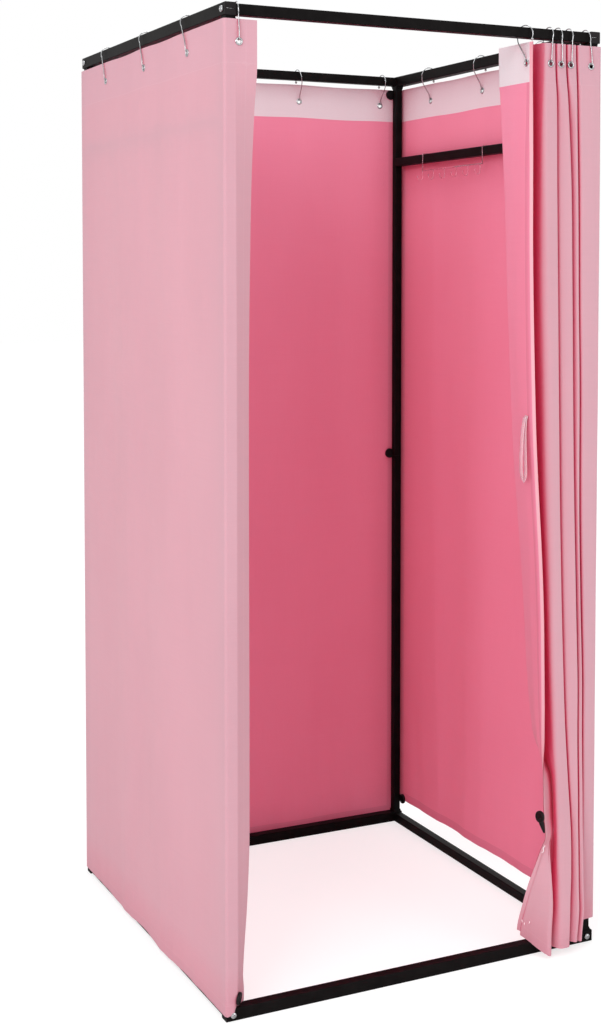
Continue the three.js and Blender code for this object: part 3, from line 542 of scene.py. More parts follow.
class Cloth:
    """A grid of points, from hem to top edge by rows and along the path by columns, that becomes one or
    more closed pieces of two-sided cloth."""

    def __init__(self, columns, stops_at, hem, top, rows, push, eyelets, turned=0.0, creases=()):
        self.columns = columns
        self.band_row = rows
        self.turned = turned
        shares = np.linspace(0, 1, rows + 1)
        band = CURTAIN_TOP - BAND_BOTTOM
        cell_low = (EYELET_Z - HOLE_HALF - BAND_BOTTOM) / band
        cell_high = (EYELET_Z + HOLE_HALF - BAND_BOTTOM) / band
        low_rows = BAND_ROWS // 2
        band_shares = np.concatenate([
            np.linspace(0, cell_low, low_rows + 1)[1:], np.linspace(cell_high, 1, BAND_ROWS - low_rows)
        ])
        plan = np.zeros((rows + BAND_ROWS + 1, len(columns), 3))
        for c in range(len(columns)):
            low, high = hem(c), top(c)
            line = high - band
            above = line + (high - line) * band_shares
            plan[:, c, 2] = np.concatenate([low + (line - low) * shares, above])
        level = {}
        for r, c in np.ndindex(plan.shape[:2]):
            z = round(float(plan[r, c, 2]), 4)
            if z not in level:
                level[z] = belt(stops_at(z))
            plan[r, c, :2] = level[z](*columns[c])
        spread = np.linalg.norm(np.diff(plan[len(plan) // 2, :, :2], axis=0), axis=1)
        self.run = np.concatenate([[0], np.cumsum(spread)])
        side = self.sideways(plan)
        plan = plan + side * push(self, plan)[..., None]
        for column, crease in creases:
            plan[:, column, 1] = [crease(float(z)) for z in plan[:, column, 2]]
            side[:, column] = (1, 0, 0)
        self.plan = plan
        self.holes = [self.hole(centre, along) for centre, along, _ in eyelets]
        self.hems()
        front = self.plan + side * CLOTH_THICK / 2
        back = self.plan - side * self.back_off[..., None]
        self.faces = (front, back)
        self.normals = (self.normals_of(front, 1), self.normals_of(back, -1))

    def hole(self, centre, along):
        """Fits the cell round an eyelet's centre to a square, which is left out."""
        centre, along = np.array(centre), np.array(along)
        near = np.linalg.norm(self.plan[self.band_row:] - centre, axis=-1)
        row, column = np.unravel_index(np.argmin(near), near.shape)
        row += self.band_row
        if self.plan[row, column, 2] > centre[2]:
            row -= 1
        if (self.plan[row, column] - centre) @ along > 0:
            column -= 1
        for r, c in np.ndindex(2, 2):
            corner = centre + (2 * c - 1) * HOLE_HALF * along
            corner[2] += (2 * r - 1) * HOLE_HALF
            self.plan[row + r, column + c] = corner
        return int(row), int(column)

    @staticmethod
    def across(points):
        """The way from each column's left neighbour to its right one, past columns that lie together."""
        last = points.shape[1] - 1
        column = np.arange(last + 1)
        way = np.zeros(points.shape)
        for reach in range(1, 9):
            wide = points[:, np.minimum(column + reach, last)] - points[:, np.maximum(column - reach, 0)]
            short = np.linalg.norm(way, axis=-1, keepdims=True) < 0.0014
            way = np.where(short, wide, way)
        return way

    @staticmethod
    def sideways(plan):
        """Level directions out of the cloth's outer face."""
        step = Cloth.across(plan)[..., :2]
        out = np.stack([step[..., 1], -step[..., 0]], axis=-1)
        out /= np.maximum(np.linalg.norm(out, axis=-1, keepdims=True), 1e-9)
        return np.concatenate([out, np.zeros(out.shape[:-1] + (1,))], axis=-1)

    @staticmethod
    def normals_of(points, sign):
        n = np.cross(Cloth.across(points), np.gradient(points, axis=0)) * sign
        return n / np.maximum(np.linalg.norm(n, axis=-1, keepdims=True), 1e-12)

    def hems(self):
        """Distances past the cloth's edge and the nearest stitch line, and the thickness behind."""
        up = self.plan[..., 2] - self.plan[:1, :, 2]
        from_start = np.broadcast_to(self.run[None, :], up.shape)
        self.edge = np.minimum.reduce([up, from_start, self.run[-1] - from_start])
        to_hem = self.edge - HEM_WIDTH
        below = self.plan[..., 2] - self.plan[self.band_row:self.band_row + 1, :, 2]
        self.stitch = np.where(np.abs(to_hem) < np.abs(below), to_hem, below)
        self.in_band = np.arange(len(up))[:, None] >= self.band_row
        double = smoothstep(HEM_WIDTH - self.edge, -0.0005, 0.0015)
        self.back_off = CLOTH_THICK / 2 + BAND_THICK * np.maximum(double, self.in_band)

    def piece(self, name, first=0, last=None):
        """The cloth from one column to another as one closed mesh."""
        last = len(self.columns) - 1 if last is None else last
        cut = slice(first, last + 1)
        rows, cols = self.faces[0][:, cut].shape[:2]
        points = np.concatenate([face[:, cut].reshape(-1, 3) for face in self.faces])
        normals = np.concatenate([normal[:, cut].reshape(-1, 3) for normal in self.normals])
        index = np.arange(rows * cols).reshape(rows, cols)
        other = index + rows * cols
        kept = np.ones((rows - 1, cols - 1), bool)
        gaps = [(r, c - first) for r, c in self.holes if first <= c < last]
        for r, c in gaps:
            kept[r, c] = False
        a, b, c, d = index[:-1, :-1], index[:-1, 1:], index[1:, 1:], index[1:, :-1]
        faces = [np.stack([a, b, c, d], -1)[kept], np.stack([a, d, c, b], -1)[kept] + rows * cols]
        edge = self.edge[:, cut]
        middle = (edge[:-1, :-1] + edge[1:, 1:]) / 2
        inner = np.where(middle < HEM_WIDTH, HEM, INSIDE)
        inner[np.broadcast_to(self.in_band[:-1], middle.shape)] = BAND
        # Inner face by the free edge: the outer cloth turned round it, painted lighter as a highlight
        highlight_edge_columns = (self.run[cut][1:] < self.turned) & (first == 0)
        inner = np.where(highlight_edge_columns[None, :], EDGE_HIGHLIGHT, inner)
        looks = [np.full(kept.sum(), OUTSIDE), inner[kept]]

        def rim(one, two, flip=False):
            quads = np.stack([one[:-1], two[:-1], two[1:], one[1:]], -1)
            faces.append(quads[:, ::-1] if flip else quads)
            looks.append(np.full(len(quads), OUTSIDE))

        for r, c in gaps:
            around = [(r, c), (r, c + 1), (r + 1, c + 1), (r + 1, c), (r, c)]
            if c + 1 == cols - 1:
                around = around[2:] + around[1:2]
            rows_round, cols_round = zip(*around)
            rim(index[rows_round, cols_round], other[rows_round, cols_round], True)
        rim(index[0], other[0])
        rim(index[-1], other[-1], True)
        rim(index[:, 0], other[:, 0], True)
        notches = sorted(r + 1 for r, c in gaps if c + 1 == cols - 1)
        for part in np.split(np.arange(rows), notches):
            rim(index[part, -1], other[part, -1])
        piece = new_object(name, points, np.concatenate(faces), CLOTH_MATERIALS, np.concatenate(looks))
        mesh = piece.data
        run = np.broadcast_to(self.run[cut][None, :], (rows, cols))
        places = np.stack([run, self.plan[:, cut, 2]], -1).reshape(-1, 2)
        set_flat_places(mesh, np.concatenate([places, places]))
        hem = mesh.attributes.new("hem", "FLOAT", "POINT")
        hem.data.foreach_set("value", np.tile(self.stitch[:, cut].ravel(), 2).astype(np.float32))
        mesh.normals_split_custom_set_from_vertices(normals.tolist())
        return piece

    def row_at(self, column, z, face=0):
        return int(np.argmin(np.abs(self.faces[face][:, column, 2] - z)))

    def spot(self, column, z, lift=0.0, face=0):
        """A point over the outer face, 0, or the inner, 1, and the direction out of that face."""
        at = self.row_at(column, z, face), column
        normal = Vector(self.normals[face][at])
        return Vector(self.faces[face][at]) + normal * lift, normal


def ripples(run, z, scale_run, scale_z, seed):
    """Smooth noise over the cloth, from its run and height."""
    grid = np.zeros(z.shape)
    for r, c in np.ndindex(z.shape):
        grid[r, c] = noise.noise(Vector((run[c] * scale_run, z[r, c] * scale_z, seed)))
    return grid


# Walls of cloth, seen from outside

QUARTER_TURNS = {"front": (1, 0), "right": (0, 1), "back": (-1, 0), "left": (0, -1)}
left_eyelets = [share * 2 * OUTER_Y for share in LEFT_EYELET_SHARES]
back_eyelets = [share * 2 * OUTER_X for share in BACK_EYELET_SHARES]
right_eyelets = [share * 2 * OUTER_Y for share in RIGHT_EYELET_SHARES]
gather_x = [
    OUTER_X - share * GATHER_WIDTH + shift for share, shift in zip(GATHER_EYELET_SHARES, GATHER_SHIFT)
]
LEADING_EYELET = (gather_x[0], -CLOTH_Y + LEADING_INSET, EYELET_Z), (0, 1, 0), (-1, 0, 0)


def on_wall(side, place):
    """The centre of an eyelet in a wall, the way along the wall to the right and the way out of it."""
    cos, sin = QUARTER_TURNS[side]
    off = CLOTH_Y if cos else CLOTH_X
    return (place * cos + off * sin, place * sin - off * cos, EYELET_Z), (cos, sin, 0), (sin, -cos, 0)


def wave(place, eyelets):
    """0 at each eyelet and 1 half way between two."""
    value = np.zeros(place.shape)
    for low, high in zip(eyelets, eyelets[1:]):
        inside = (place > low) & (place < high)
        value = np.where(inside, np.sin(np.pi * (place - low) / (high - low)) ** 2, value)
    return value


def top_edge(place, eyelets):
    return CURTAIN_TOP - TOP_DIP * float(wave(np.array([place]), eyelets)[0])


def wall_push(cloth, plan, seed, waves):
    """How far a wall of cloth stands out of its plane, less near corners, where it bears on the frame."""
    z = plan[..., 2]
    body = 1 - smoothstep(z, 1.70, BAND_BOTTOM)
    long_folds = ripples(cloth.run, z, *LONG_FOLDS, seed)
    small_folds = ripples(cloth.run, z, *SMALL_FOLDS, seed + 7)
    low = 1 - smoothstep(z, 0.05, 0.5)
    push = WAVE_DEPTH * body * waves
    push = push + LONG_DEPTH * (0.35 + 0.65 * body) * long_folds + SMALL_DEPTH * small_folds * (0.5 + low)
    from_corner = np.abs(np.abs(plan[..., 0]) - CLOTH_X) + np.abs(np.abs(plan[..., 1]) - CLOTH_Y)
    return push * smoothstep(from_corner, 0.0, BEARING_WIDTH)


# The first curtain: the back, the left side and the wrap round the front left post

wrap_turn = profile_of(
    (0.0, 40), (0.03, 46), (0.075, 54), (0.24, 42), (0.36, 36), (1.2, 34), (1.6, 27), (1.8, 14), (1.886, 2)
)
wrap_crease = profile_of((0.0, -0.430), (0.06, -0.421), (0.16, -0.419), (2.0, -0.419))
WRAP_ROUND = 0.006
WRAP_RISE = 0.012  # of its hem, to the free edge


def first_stops(z):
    turn = math.radians(wrap_turn(z))
    corner_x, corner_y = CLOTH_X - CLOTH_CORNER, CLOTH_Y - CLOTH_CORNER
    crease = wrap_crease(z)
    return [
        (OUTER_X - EDGE_INSET, CLOTH_Y, 0),
        (-corner_x, corner_y, CLOTH_CORNER),
        (-corner_x, -corner_y, CLOTH_CORNER),
        (crease, -CLOTH_Y + WRAP_ROUND, WRAP_ROUND),
        (crease + WRAP_WIDTH * math.cos(turn), -CLOTH_Y + WRAP_WIDTH * math.sin(turn), 0),
    ]


def first_push(cloth, plan):
    x, y = plan[..., 0], plan[..., 1]
    on_back = (y > CLOTH_Y - 0.004) & (x > -CLOTH_X + 0.01)
    on_left = (x < -CLOTH_X + 0.004) & ~on_back
    waves = np.where(on_back, wave(-x, back_eyelets), 0) + np.where(on_left, wave(-y, left_eyelets), 0)
    return np.maximum(wall_push(cloth, plan, 3.1, waves), MOST_INWARD)


def first_curtain():
    columns = leg(0, WALL_COLUMNS) + arc(1, 6) + leg(1, WALL_COLUMNS) + arc(2, 8) + leg(2, 4)
    columns += arc(3, 5) + leg(3, 9) + [("leg", 3, 1.0)]
    wrap_start = columns.index(("leg", 2, 0.0))
    wrap_end = len(columns) - 1

    def hem(c):
        along = max(0, (c - wrap_start) / (wrap_end - wrap_start))
        return LEFT_HEM + WRAP_RISE * along if c >= WALL_COLUMNS else BACK_HEM

    def top(c):
        kind, i, share = columns[c]
        if kind == "leg" and i == 0:
            place = OUTER_X - EDGE_INSET - share * (2 * OUTER_X - EDGE_INSET)
            return top_edge(-place, back_eyelets)
        if kind == "leg" and i == 1:
            return top_edge(share * 2 * OUTER_Y - OUTER_Y, left_eyelets)
        return CURTAIN_TOP

    holes = [on_wall("back", place) for place in back_eyelets]
    holes += [on_wall("left", place) for place in left_eyelets]
    holes.append(on_wall("front", CORNER_EYELET))
    return Cloth(columns, first_stops, hem, top, FIRST_ROWS, first_push, holes)


# The second curtain: from its free edge in the doorway through the gathered folds and along the right

edge_x, edge_y = curves(
    (1968, 262, -447), (1572, 264, -447), (1187, 275, -447), (690, 301, -448), (472, 302, -450),
    (420, 299.5, -450), (385, 298.5, -451), (341, 298.5, -452), (297, 301.5, -452), (256, 305.5, -451),
    (237, 298, -448), (223, 294.3, -445), (203, 288.7, -442), (173, 278.7, -438), (145, 273.3, -431),
    (112, 268, -424), (50, 261.5, -411), (0, 260.5, -408),
)
inner_x, inner_y, inner_r = curves(
    (1968, 262, -330, -7), (1572, 268, -350, -6), (1187, 281, -357, -5), (690, 316, -360, -4),
    (472, 325, -375, -3), (420, 329.5, -405, -2.5), (385, 339, -420, -2), (341, 342.5, -424, -2),
    (297, 343.7, -425, -1.5), (256, 334, -434.5, 0), (237, 325, -438, 0), (170, 316, -453, 3),
    (113, 312, -462, 5), (50, 304, -468, 6), (0, 302, -471, 6),
)
shoulder_x, shoulder_r = curves(
    (1968, 303.5, 7), (1890, 303.5, 8), (1763, 307, 14), (1636, 309, 17), (1423, 313, 19), (1208, 319, 19),
    (992, 326, 18), (774, 335, 16), (554, 341, 13), (438, 343, 9), (376, 344.5, 6), (264, 346.5, 6),
    (174, 347, 9), (107, 343, 10), (20, 334, 10),
)
valley_x, valley_y = curves((227, 343, -425), (170, 331, -434), (113, 322, -442), (20, 311, -449))
crease_x = [
    *curves(
        (1968, 325.2), (1915, 326.2), (1849, 330.8), (1637, 333.6), (1423, 337.8), (1207, 342.7),
        (990, 347.7), (771, 354), (551, 362.5), (372, 372), (259, 377), (169, 372.7), (103, 365), (20, 357),
    ),
    *curves(
        (1968, 352.5), (1915, 354), (1851, 360), (1766, 365.5), (1638, 371), (1423, 375.5), (1206, 379),
        (988, 383.9), (768, 391), (546, 397), (366, 397), (254, 395), (164, 391), (97, 387), (20, 376),
    ),
    *curves(
        (1968, 379), (1852, 383.9), (1638, 390), (1422, 392.8), (1205, 397), (987, 398.5), (767, 403.5),
        (545, 409.3), (366, 409), (254, 407), (164, 403.3), (97, 399), (20, 388),
    ),
]
fold_front, = curves((1968, -442.5), (500, -444), (300, -450), (150, -463), (20, -478))
flat_front, = curves((1968, -442.5), (100, -442.5), (20, -444))
CREASES = 3
CREASE_BACK = (-0.364, -0.366, -0.364)  # of each crease at the top edge
CREASE_LOW = (-0.447, -0.452, -0.436)  # and at the floor
CREASE_REACH = (0.0135, 0.009, 0.0065)  # of the cloth that stretches as two folds part
CREASE_HALF = 0.0022
CREASE_NARROW = 0.0024  # half the gap between two pleats at the front
PLEAT_ROUND = 0.012  # at the left edge of a pleat
PLEAT_STEP = 0.006  # by which the left edge of a pleat lies behind the pleat before it
CREST_ROUND = 0.0042  # at its right edge
BESIDE_POST_ROUND = 0.0065  # where the cloth passes before the post
TOP_ROUND = 0.0035  # at the eyelets, which need a flat front
EDGE_TURN = 0.0075  # of the outer cloth round the free edge, painted lighter than the outside as a highlight
LIP = 0.009  # radius of the free edge's outward curl
VALLEY_ROUND = 0.004  # between the free edge's panel and the first pleat, near the floor
VALLEY_ENDS = (0.22, 0.30)  # heights between which a form fades out or in, here and below
LIP_STARTS = (0.35, 0.55)
LIP_ENDS = (1.70, 1.89)
PLEAT_ENDS = (1.85, 1.90)
CREST_ENDS = (1.80, 1.89)
CORNER_STOP = 14


def crease_y(k, z):
    """Straight from top to bottom, so that the two folds beside a crease part along it."""
    return CREASE_LOW[k] + (CREASE_BACK[k] - CREASE_LOW[k]) * (z / CURTAIN_TOP)


def second_stops(z):
    bent = 1 - float(smoothstep(z, *VALLEY_ENDS))
    lip = float(smoothstep(z, *LIP_STARTS) * (1 - 0.85 * smoothstep(z, *LIP_ENDS)))
    edge, inner = Vector((edge_x(z), edge_y(z))), Vector((inner_x(z), inner_y(z)))
    apart = inner - edge
    heading = math.atan2(apart.y, apart.x) - math.asin(inner_r(z) / apart.length)
    ahead = Vector((math.cos(heading), math.sin(heading)))
    right = Vector((ahead.y, -ahead.x))
    tip = edge - ahead * 0.25 * LIP * lip
    curl = edge + ahead * LIP + right * 0.3 * LIP * lip
    front = fold_front(z)
    shoulder = (shoulder_x(z), front + shoulder_r(z), shoulder_r(z))
    middle = ((inner.x + shoulder[0] - shoulder[2]) / 2, (inner.y + shoulder[1]) / 2)
    valley = (
        middle[0] + (valley_x(z) - middle[0]) * bent,
        middle[1] + (valley_y(z) - middle[1]) * bent,
        -VALLEY_ROUND * bent,
    )
    stops = [(*tip, 0), (*curl, -LIP * lip), (*inner, inner_r(z)), valley, shoulder]
    xs = [x(z) for x in crease_x]
    fronts = [front] * CREASES + [flat_front(z)]
    roundest = TOP_ROUND + (PLEAT_ROUND - TOP_ROUND) * (1 - float(smoothstep(z, *PLEAT_ENDS)))
    plain = 1 - float(smoothstep(z, *CREST_ENDS))
    crest = TOP_ROUND + (CREST_ROUND - TOP_ROUND) * plain
    for k, x in enumerate(xs):
        before = x - xs[k - 1] if k else roundest * 4
        left_round = min(crest, before / 2 - 1.6 * CREASE_NARROW)
        if k == CREASES - 1:
            right_round, step = BESIDE_POST_ROUND, 0
        else:
            right_round, step = xs[k + 1] - x - 3.2 * CREASE_NARROW - crest, PLEAT_STEP * plain
        room = crease_y(k, z) - fronts[k + 1] - 2 * CREASE_HALF
        right_round = max(min(roundest, right_round, room * 0.6), 0.0005)
        step = max(min(step, room * 0.3), 0)
        stops.append((x - CREASE_NARROW - left_round, fronts[k] + left_round, left_round))
        stops.append((x, crease_y(k, z) - CREASE_HALF, -CREASE_HALF))
        stops.append((x + CREASE_NARROW + right_round, fronts[k + 1] + step + right_round, right_round))
    stops.append((CLOTH_X - CLOTH_CORNER, -CLOTH_Y + CLOTH_CORNER, CLOTH_CORNER))
    stops.append((CLOTH_X, OUTER_Y - EDGE_INSET, 0))
    return stops


def second_columns():
    """The columns, and those at which the cloth is divided."""
    columns = leg(0, 3) + arc(1, 5) + leg(1, 11) + arc(2, 8)
    marks = {"inner": len(columns)}
    columns += leg(2, 9) + leg(3, 9) + arc(4, 10) + leg(4, 3)
    marks["crest_1"] = len(columns) - 1
    for k in range(CREASES):
        stop = 6 + 3 * k
        columns += arc(stop - 1, 6) + leg(stop - 1, 10) + arc(stop, 4, 0, 0.5)
        marks[f"crease_{k + 1}"] = len(columns)
        columns += arc(stop, 4, 0.5, 1) + leg(stop, 10) + arc(stop + 1, 6)
        if k < CREASES - 1:
            columns += leg(stop + 1, 2)
            marks[f"crest_{k + 2}"] = len(columns) - 1
    marks["crest_4"] = len(columns)
    columns += leg(CORNER_STOP - 1, 10) + arc(CORNER_STOP, 6)
    marks["corner"] = len(columns)
    columns += leg(CORNER_STOP, WALL_COLUMNS + 2) + [("leg", CORNER_STOP, 1.0)]
    return columns, marks


columns_b, marks_b = second_columns()
second_hem = profile_of(
    (0, 0.047),
    (marks_b["inner"] - 4, 0.006),
    (marks_b["inner"] + 9, 0.019),
    (marks_b["crest_1"], 0.017),
    (marks_b["crease_1"], 0.026),
    (marks_b["crest_2"], 0.025),
    (marks_b["crest_3"], 0.024),
    (marks_b["crease_3"], 0.032),
    (marks_b["crease_3"] + 16, 0.052),
    (marks_b["corner"], RIGHT_HEM),
    (len(columns_b) - 1, RIGHT_HEM + 0.002),
)


def second_top(c):
    kind, i, share = columns_b[c]
    if kind == "leg" and i == CORNER_STOP:
        return top_edge(-CLOTH_Y + share * 2 * OUTER_Y, right_eyelets)
    return CURTAIN_TOP


def second_push(cloth, plan):
    x, y, z = plan[..., 0], plan[..., 1], plan[..., 2]
    on_right = (x > CLOTH_X - 0.004) & (y > -CLOTH_Y + 0.01)
    push = wall_push(cloth, plan, 5.7, np.where(on_right, wave(y, right_eyelets), 0))
    push = np.maximum(np.where(on_right, push, 0), MOST_INWARD)
    column = np.arange(plan.shape[1])
    free = np.ones(plan.shape[1])
    for key, at in marks_b.items():
        if key.startswith("cre"):
            free = np.minimum(free, smoothstep(np.abs(column - at), 0, 6))
    free = np.where(column >= marks_b["corner"], 0, free)
    face = ripples(cloth.run, z, *PANEL_FOLDS, 11.3) * PANEL_DEPTH
    face += ripples(cloth.run, z, *CRINKLES, 2.9) * CRINKLE_DEPTH
    below = 1 - smoothstep(z, BAND_BOTTOM - 0.1, BAND_BOTTOM + 0.03)
    leading = column < marks_b["crest_1"]
    return push + face * free * (0.25 + 0.75 * below) * np.where(leading, 1.0, 0.45)


def second_curtain():
    holes = [LEADING_EYELET]
    holes += [on_wall("front", place) for place in gather_x[1:]]
    holes += [on_wall("right", place) for place in right_eyelets]
    creases = [(marks_b[f"crease_{k + 1}"], partial(crease_y, k)) for k in range(CREASES)]
    return Cloth(
        columns_b, second_stops, second_hem, second_top, SECOND_ROWS, second_push, holes, EDGE_TURN, creases
    )


def crease_blend(k):
    """Two points, one either side of a crease's middle, as far from it as the cloth that stretches as two
    folds part.
    """
    top, low = CREASE_BACK[k], CREASE_LOW[k]
    along = Vector((0, top - low, CURTAIN_TOP)).normalized()
    out = Vector((0, -along.z, along.y))
    middle = Vector((0, (top + low) / 2, CURTAIN_TOP / 2))
    return middle + out * CREASE_REACH[k], middle - out * CREASE_REACH[k]


def face_blend(cloth):
    """Two levels in a direction in which the first crest lies wholly before the inner fold."""
    towards = Vector((-0.8, 0.6, -0.036)).normalized()
    start = max(Vector(p).dot(towards) for p in cloth.plan[:, marks_b["crest_1"]])
    end = min(Vector(p).dot(towards) for p in cloth.plan[:, marks_b["inner"]])
    return towards * start, towards * end


def make_curtains():
    first = first_curtain()
    left_back = first.piece("curtain_left_and_back")
    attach(left_back, "frame")
    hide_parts("curtain_left_back")

    # Each piece's name, last column, own body, the body that it reaches to, its node and its flat width
    second = second_curtain()
    spans = [
        ("doorway_edge_panel", "inner", "leading_edge", None, ["curtain_front_1"], 0.12),
        ("doorway_broad_face", "crest_1", "second_fold", "leading_edge", [], 0.12),
        ("doorway_fold_2_right", "crease_1", "second_fold", "third_fold", ["curtain_front_2"], 0.05),
        ("doorway_fold_3_left", "crest_2", "third_fold", "second_fold", [], 0.05),
        ("doorway_fold_3_right", "crease_2", "third_fold", "fourth_fold", ["curtain_front_3"], 0.05),
        ("doorway_fold_4_left", "crest_3", "fourth_fold", "third_fold", [], 0.042),
        ("doorway_fold_4_right", "crease_3", "fourth_fold", "frame", ["curtain_front_4"], 0.045),
        ("doorway_fold_5_left", "crest_4", "frame", "fourth_fold", [], 0.045),
        ("curtain_right_side", None, "frame", None, ["curtain_right"], 0.94),
    ]
    first_column = 0
    for name, mark, body, other, replaced, width in spans:
        last_column = marks_b[mark] if mark else len(columns_b) - 1
        piece = second.piece(name, first_column, last_column)
        first_column = last_column
        if other is None:
            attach(piece, body)
        elif other == "leading_edge":
            start, end = face_blend(second)
            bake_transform(piece)
            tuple(start)
            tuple(end)
        else:
            start, end = crease_blend(min(FOLD_BODIES.index(body), FOLD_BODIES.index(other)))
            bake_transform(piece)
            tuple(start)
            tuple(end)
        if replaced:
            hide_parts(*replaced)
    return first, second


first_cloth, second_cloth = make_curtains()


# Eyelets

def add_eyelet(name, place, body):
    """Two pressed rings with rolled rims and a short barrel between them."""
    centre, _, out = place
    hole, ring = EYELET_HOLE / 2, EYELET_RING / 2
    steps = [
        (ring, 0.0), (ring - 0.0004, 0.55), (ring - 0.0014, 0.9), ((ring + hole) / 2, 1.0),
        (hole + 0.0007, 0.75), (hole, 0.1),
    ]
    front = [(radius, CLOTH_THICK / 2 + BAND_THICK + EYELET_LIP * rise) for radius, rise in steps]
    back = [(radius, -height) for radius, height in reversed(front)]
    add_piece(name, lathe(front + back, 32, centre, out, closed=True), STEEL, body)


for side, places in (("left", left_eyelets), ("back", back_eyelets), ("right", right_eyelets)):
    for i, place in enumerate(places):
        add_eyelet(f"eyelet_{side}_{i + 1}", on_wall(side, place), "frame")
add_eyelet("eyelet_corner", on_wall("front", CORNER_EYELET), "frame")
for i, (x, body) in enumerate(zip(gather_x, GATHER_BODIES)):
    add_eyelet(f"eyelet_front_{i + 1}", on_wall("front", x) if i else LEADING_EYELET, body)


# Hooks: one bent wire each, drawn round a rail along X from its centre line

def bezier(a, b, c, d, t):
    s = 1 - t
    return a * s ** 3 + b * (3 * s * s * t) + c * (3 * s * t * t) + d * t ** 3


def hook_parts(rail_side, cloth_reach, shank, shift, splay=0.0, across=False):
    half = rail_side / 2
    inner = HOOK_LOOP - WIRE / 2 - SEAT_GAP
    loop_z = half - math.sqrt(inner * inner - half * half)
    curl_z = EYELET_Z - RAIL_Z + EYELET_HOLE / 2 - WIRE / 2 - 2 * SEAT_GAP + HOOK_CURL
    cloth_side = cloth_reach * shank
    lean = shift + splay * cloth_side / HOOK_LOOP

    def place(side, z):
        fall = min(max((HOOK_LOOP - z) / (HOOK_LOOP - curl_z), 0), 1)
        return Vector((lean * fall - splay * side / HOOK_LOOP, -side * shank, z))

    def loop(angle):
        return place(HOOK_LOOP * math.cos(angle), loop_z + HOOK_LOOP * math.sin(angle))

    def curl(angle):
        reach = HOOK_CURL * math.cos(angle)
        z = curl_z + HOOK_CURL * math.sin(angle)
        if not across:
            return place(cloth_side + reach, z)
        middle = place(cloth_side, curl_z)
        return Vector((middle.x - reach, middle.y, z))

    ball_z = -HOOK_LOOP * math.sin(LOOP_OPEN) - HOOK_BALL_LEG
    ball = place(-HOOK_LOOP * math.cos(LOOP_OPEN), ball_z)
    shank_top, shank_end = loop(-LOOP_SHANK), curl(0)
    bend = (shank_top.z - shank_end.z) / 3
    b = place(HOOK_LOOP, shank_top.z - bend)
    c = shank_end + Vector((0, 0, bend))
    loop_start, loop_end = math.pi + LOOP_OPEN, -LOOP_SHANK
    path = [ball]
    path += [loop(loop_start + (loop_end - loop_start) * k / 36) for k in range(36)]
    path += [bezier(shank_top, b, c, shank_end, k / 16) for k in range(16)]
    path += [curl(-math.pi * k / 16) for k in range(17)]
    path.append(path[-1] + Vector((0, 0, HOOK_TIP)))
    tip = sphere(path[-1], WIRE / 2 * 1.05, 12, 6)
    return joined([tube(path, WIRE / 2), sphere(ball, HOOK_BALL / 2), tip])


def rail(side, middle, outer):
    return dict(rail_side=side, rail_y=middle - outer, cloth_reach=middle + CLOTH_OFF)


LONG_RAIL = rail(LONG_TUBE, LONG_TUBE / 2, OUTER_X)
SHORT_RAIL = rail(SHORT_TUBE, RAIL_INSET, OUTER_Y)


def add_hook(side, node, ring, eyelet_at, body, rail_y, **settings):
    points, faces = hook_parts(shift=eyelet_at - ring, **settings)
    quarters = list(QUARTER_TURNS).index(side)
    turn = Matrix.Rotation(quarters * math.pi / 2, 4, "Z") @ Matrix.Translation((ring, rail_y, RAIL_Z))
    shape = [turn @ p for p in points], faces
    add_piece(node.replace("hook", "wire_hook"), shape, STEEL, body, node)


for side, shares, length, eyelets, shank, bar in (
    ("left", LEFT_RING_SHARES, 2 * OUTER_Y, left_eyelets, 1, LONG_RAIL),
    ("right", RIGHT_RING_SHARES, 2 * OUTER_Y, right_eyelets, -1, LONG_RAIL),
    ("back", BACK_RING_SHARES, 2 * OUTER_X, back_eyelets, -1, SHORT_RAIL),
):
    for i, share in enumerate(shares):
        add_hook(side, f"hook_{side}_{i + 1}", share * length, eyelets[i], "frame", shank=shank, **bar)
add_hook(
    "front", "hook_corner", CORNER_RING, CORNER_EYELET, "frame", shank=1, splay=CORNER_SPLAY, **SHORT_RAIL
)
for i, (share, body) in enumerate(zip(GATHER_RING_SHARES, GATHER_BODIES)):
    settings = dict(SHORT_RAIL, shank=1)
    if i == 0:
        reach = RAIL_INSET + CLOTH_OFF - LEADING_INSET
        settings.update(cloth_reach=reach, shank=-1, splay=LEADING_SPLAY, across=True)
    add_hook("front", f"hook_front_{i + 1}", OUTER_X - share * GATHER_WIDTH, gather_x[i], body, **settings)


# Bolts with a hexagon socket

def box_middle(node):
    low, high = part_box(node)
    return (low + high) / 2


def bolt_parts(centre, axis):
    """The head's underside is at the centre, and the axis points out of it."""
    head, height, rim, sides = 0.0065, 0.0042, 0.001, 48
    socket, depth = 0.002, 0.0024
    turn = Vector((0, 0, 1)).rotation_difference(axis)

    def hexagon(angle):
        return socket / math.cos((angle + math.pi / 6) % (math.pi / 3) - math.pi / 6)

    rings = [(lambda a: head, 0.0), (lambda a: head, rim * 0.6), (lambda a: head - 0.0003, rim)]
    for k in range(1, 7):
        lift = math.pi / 2 * k / 8
        rings.append((lambda a, lift=lift: head * math.cos(lift), rim + (height - rim) * math.sin(lift)))
    rings.append((lambda a: hexagon(a) + 0.0004, height - 0.00005))
    rings += [(hexagon, height - 0.0003), (hexagon, height - depth)]
    points = []
    for radius, z in rings:
        for k, (cos, sin) in enumerate(circle(sides)):
            reach = radius(2 * math.pi * k / sides)
            points.append(centre + turn @ Vector((reach * cos, reach * sin, z)))
    return points, skin(len(rings), sides)


for node in [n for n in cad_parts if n.startswith("bolt_")]:
    # The head lies outside the frame, on X for the top rails and on Y for the bottom ones
    seat, axis = box_middle(node), Vector()
    side, outer = (0, OUTER_X) if "top" in node else (1, OUTER_Y)
    axis[side] = math.copysign(1, seat[side])
    seat[side] = axis[side] * (outer + SEAT_GAP)
    bolt = bolt_parts(seat, axis)
    add_piece(node.replace("bolt", "dome_bolt"), bolt, STEEL, "frame", node)


# Magnets: discs of black plastic with a raised rim

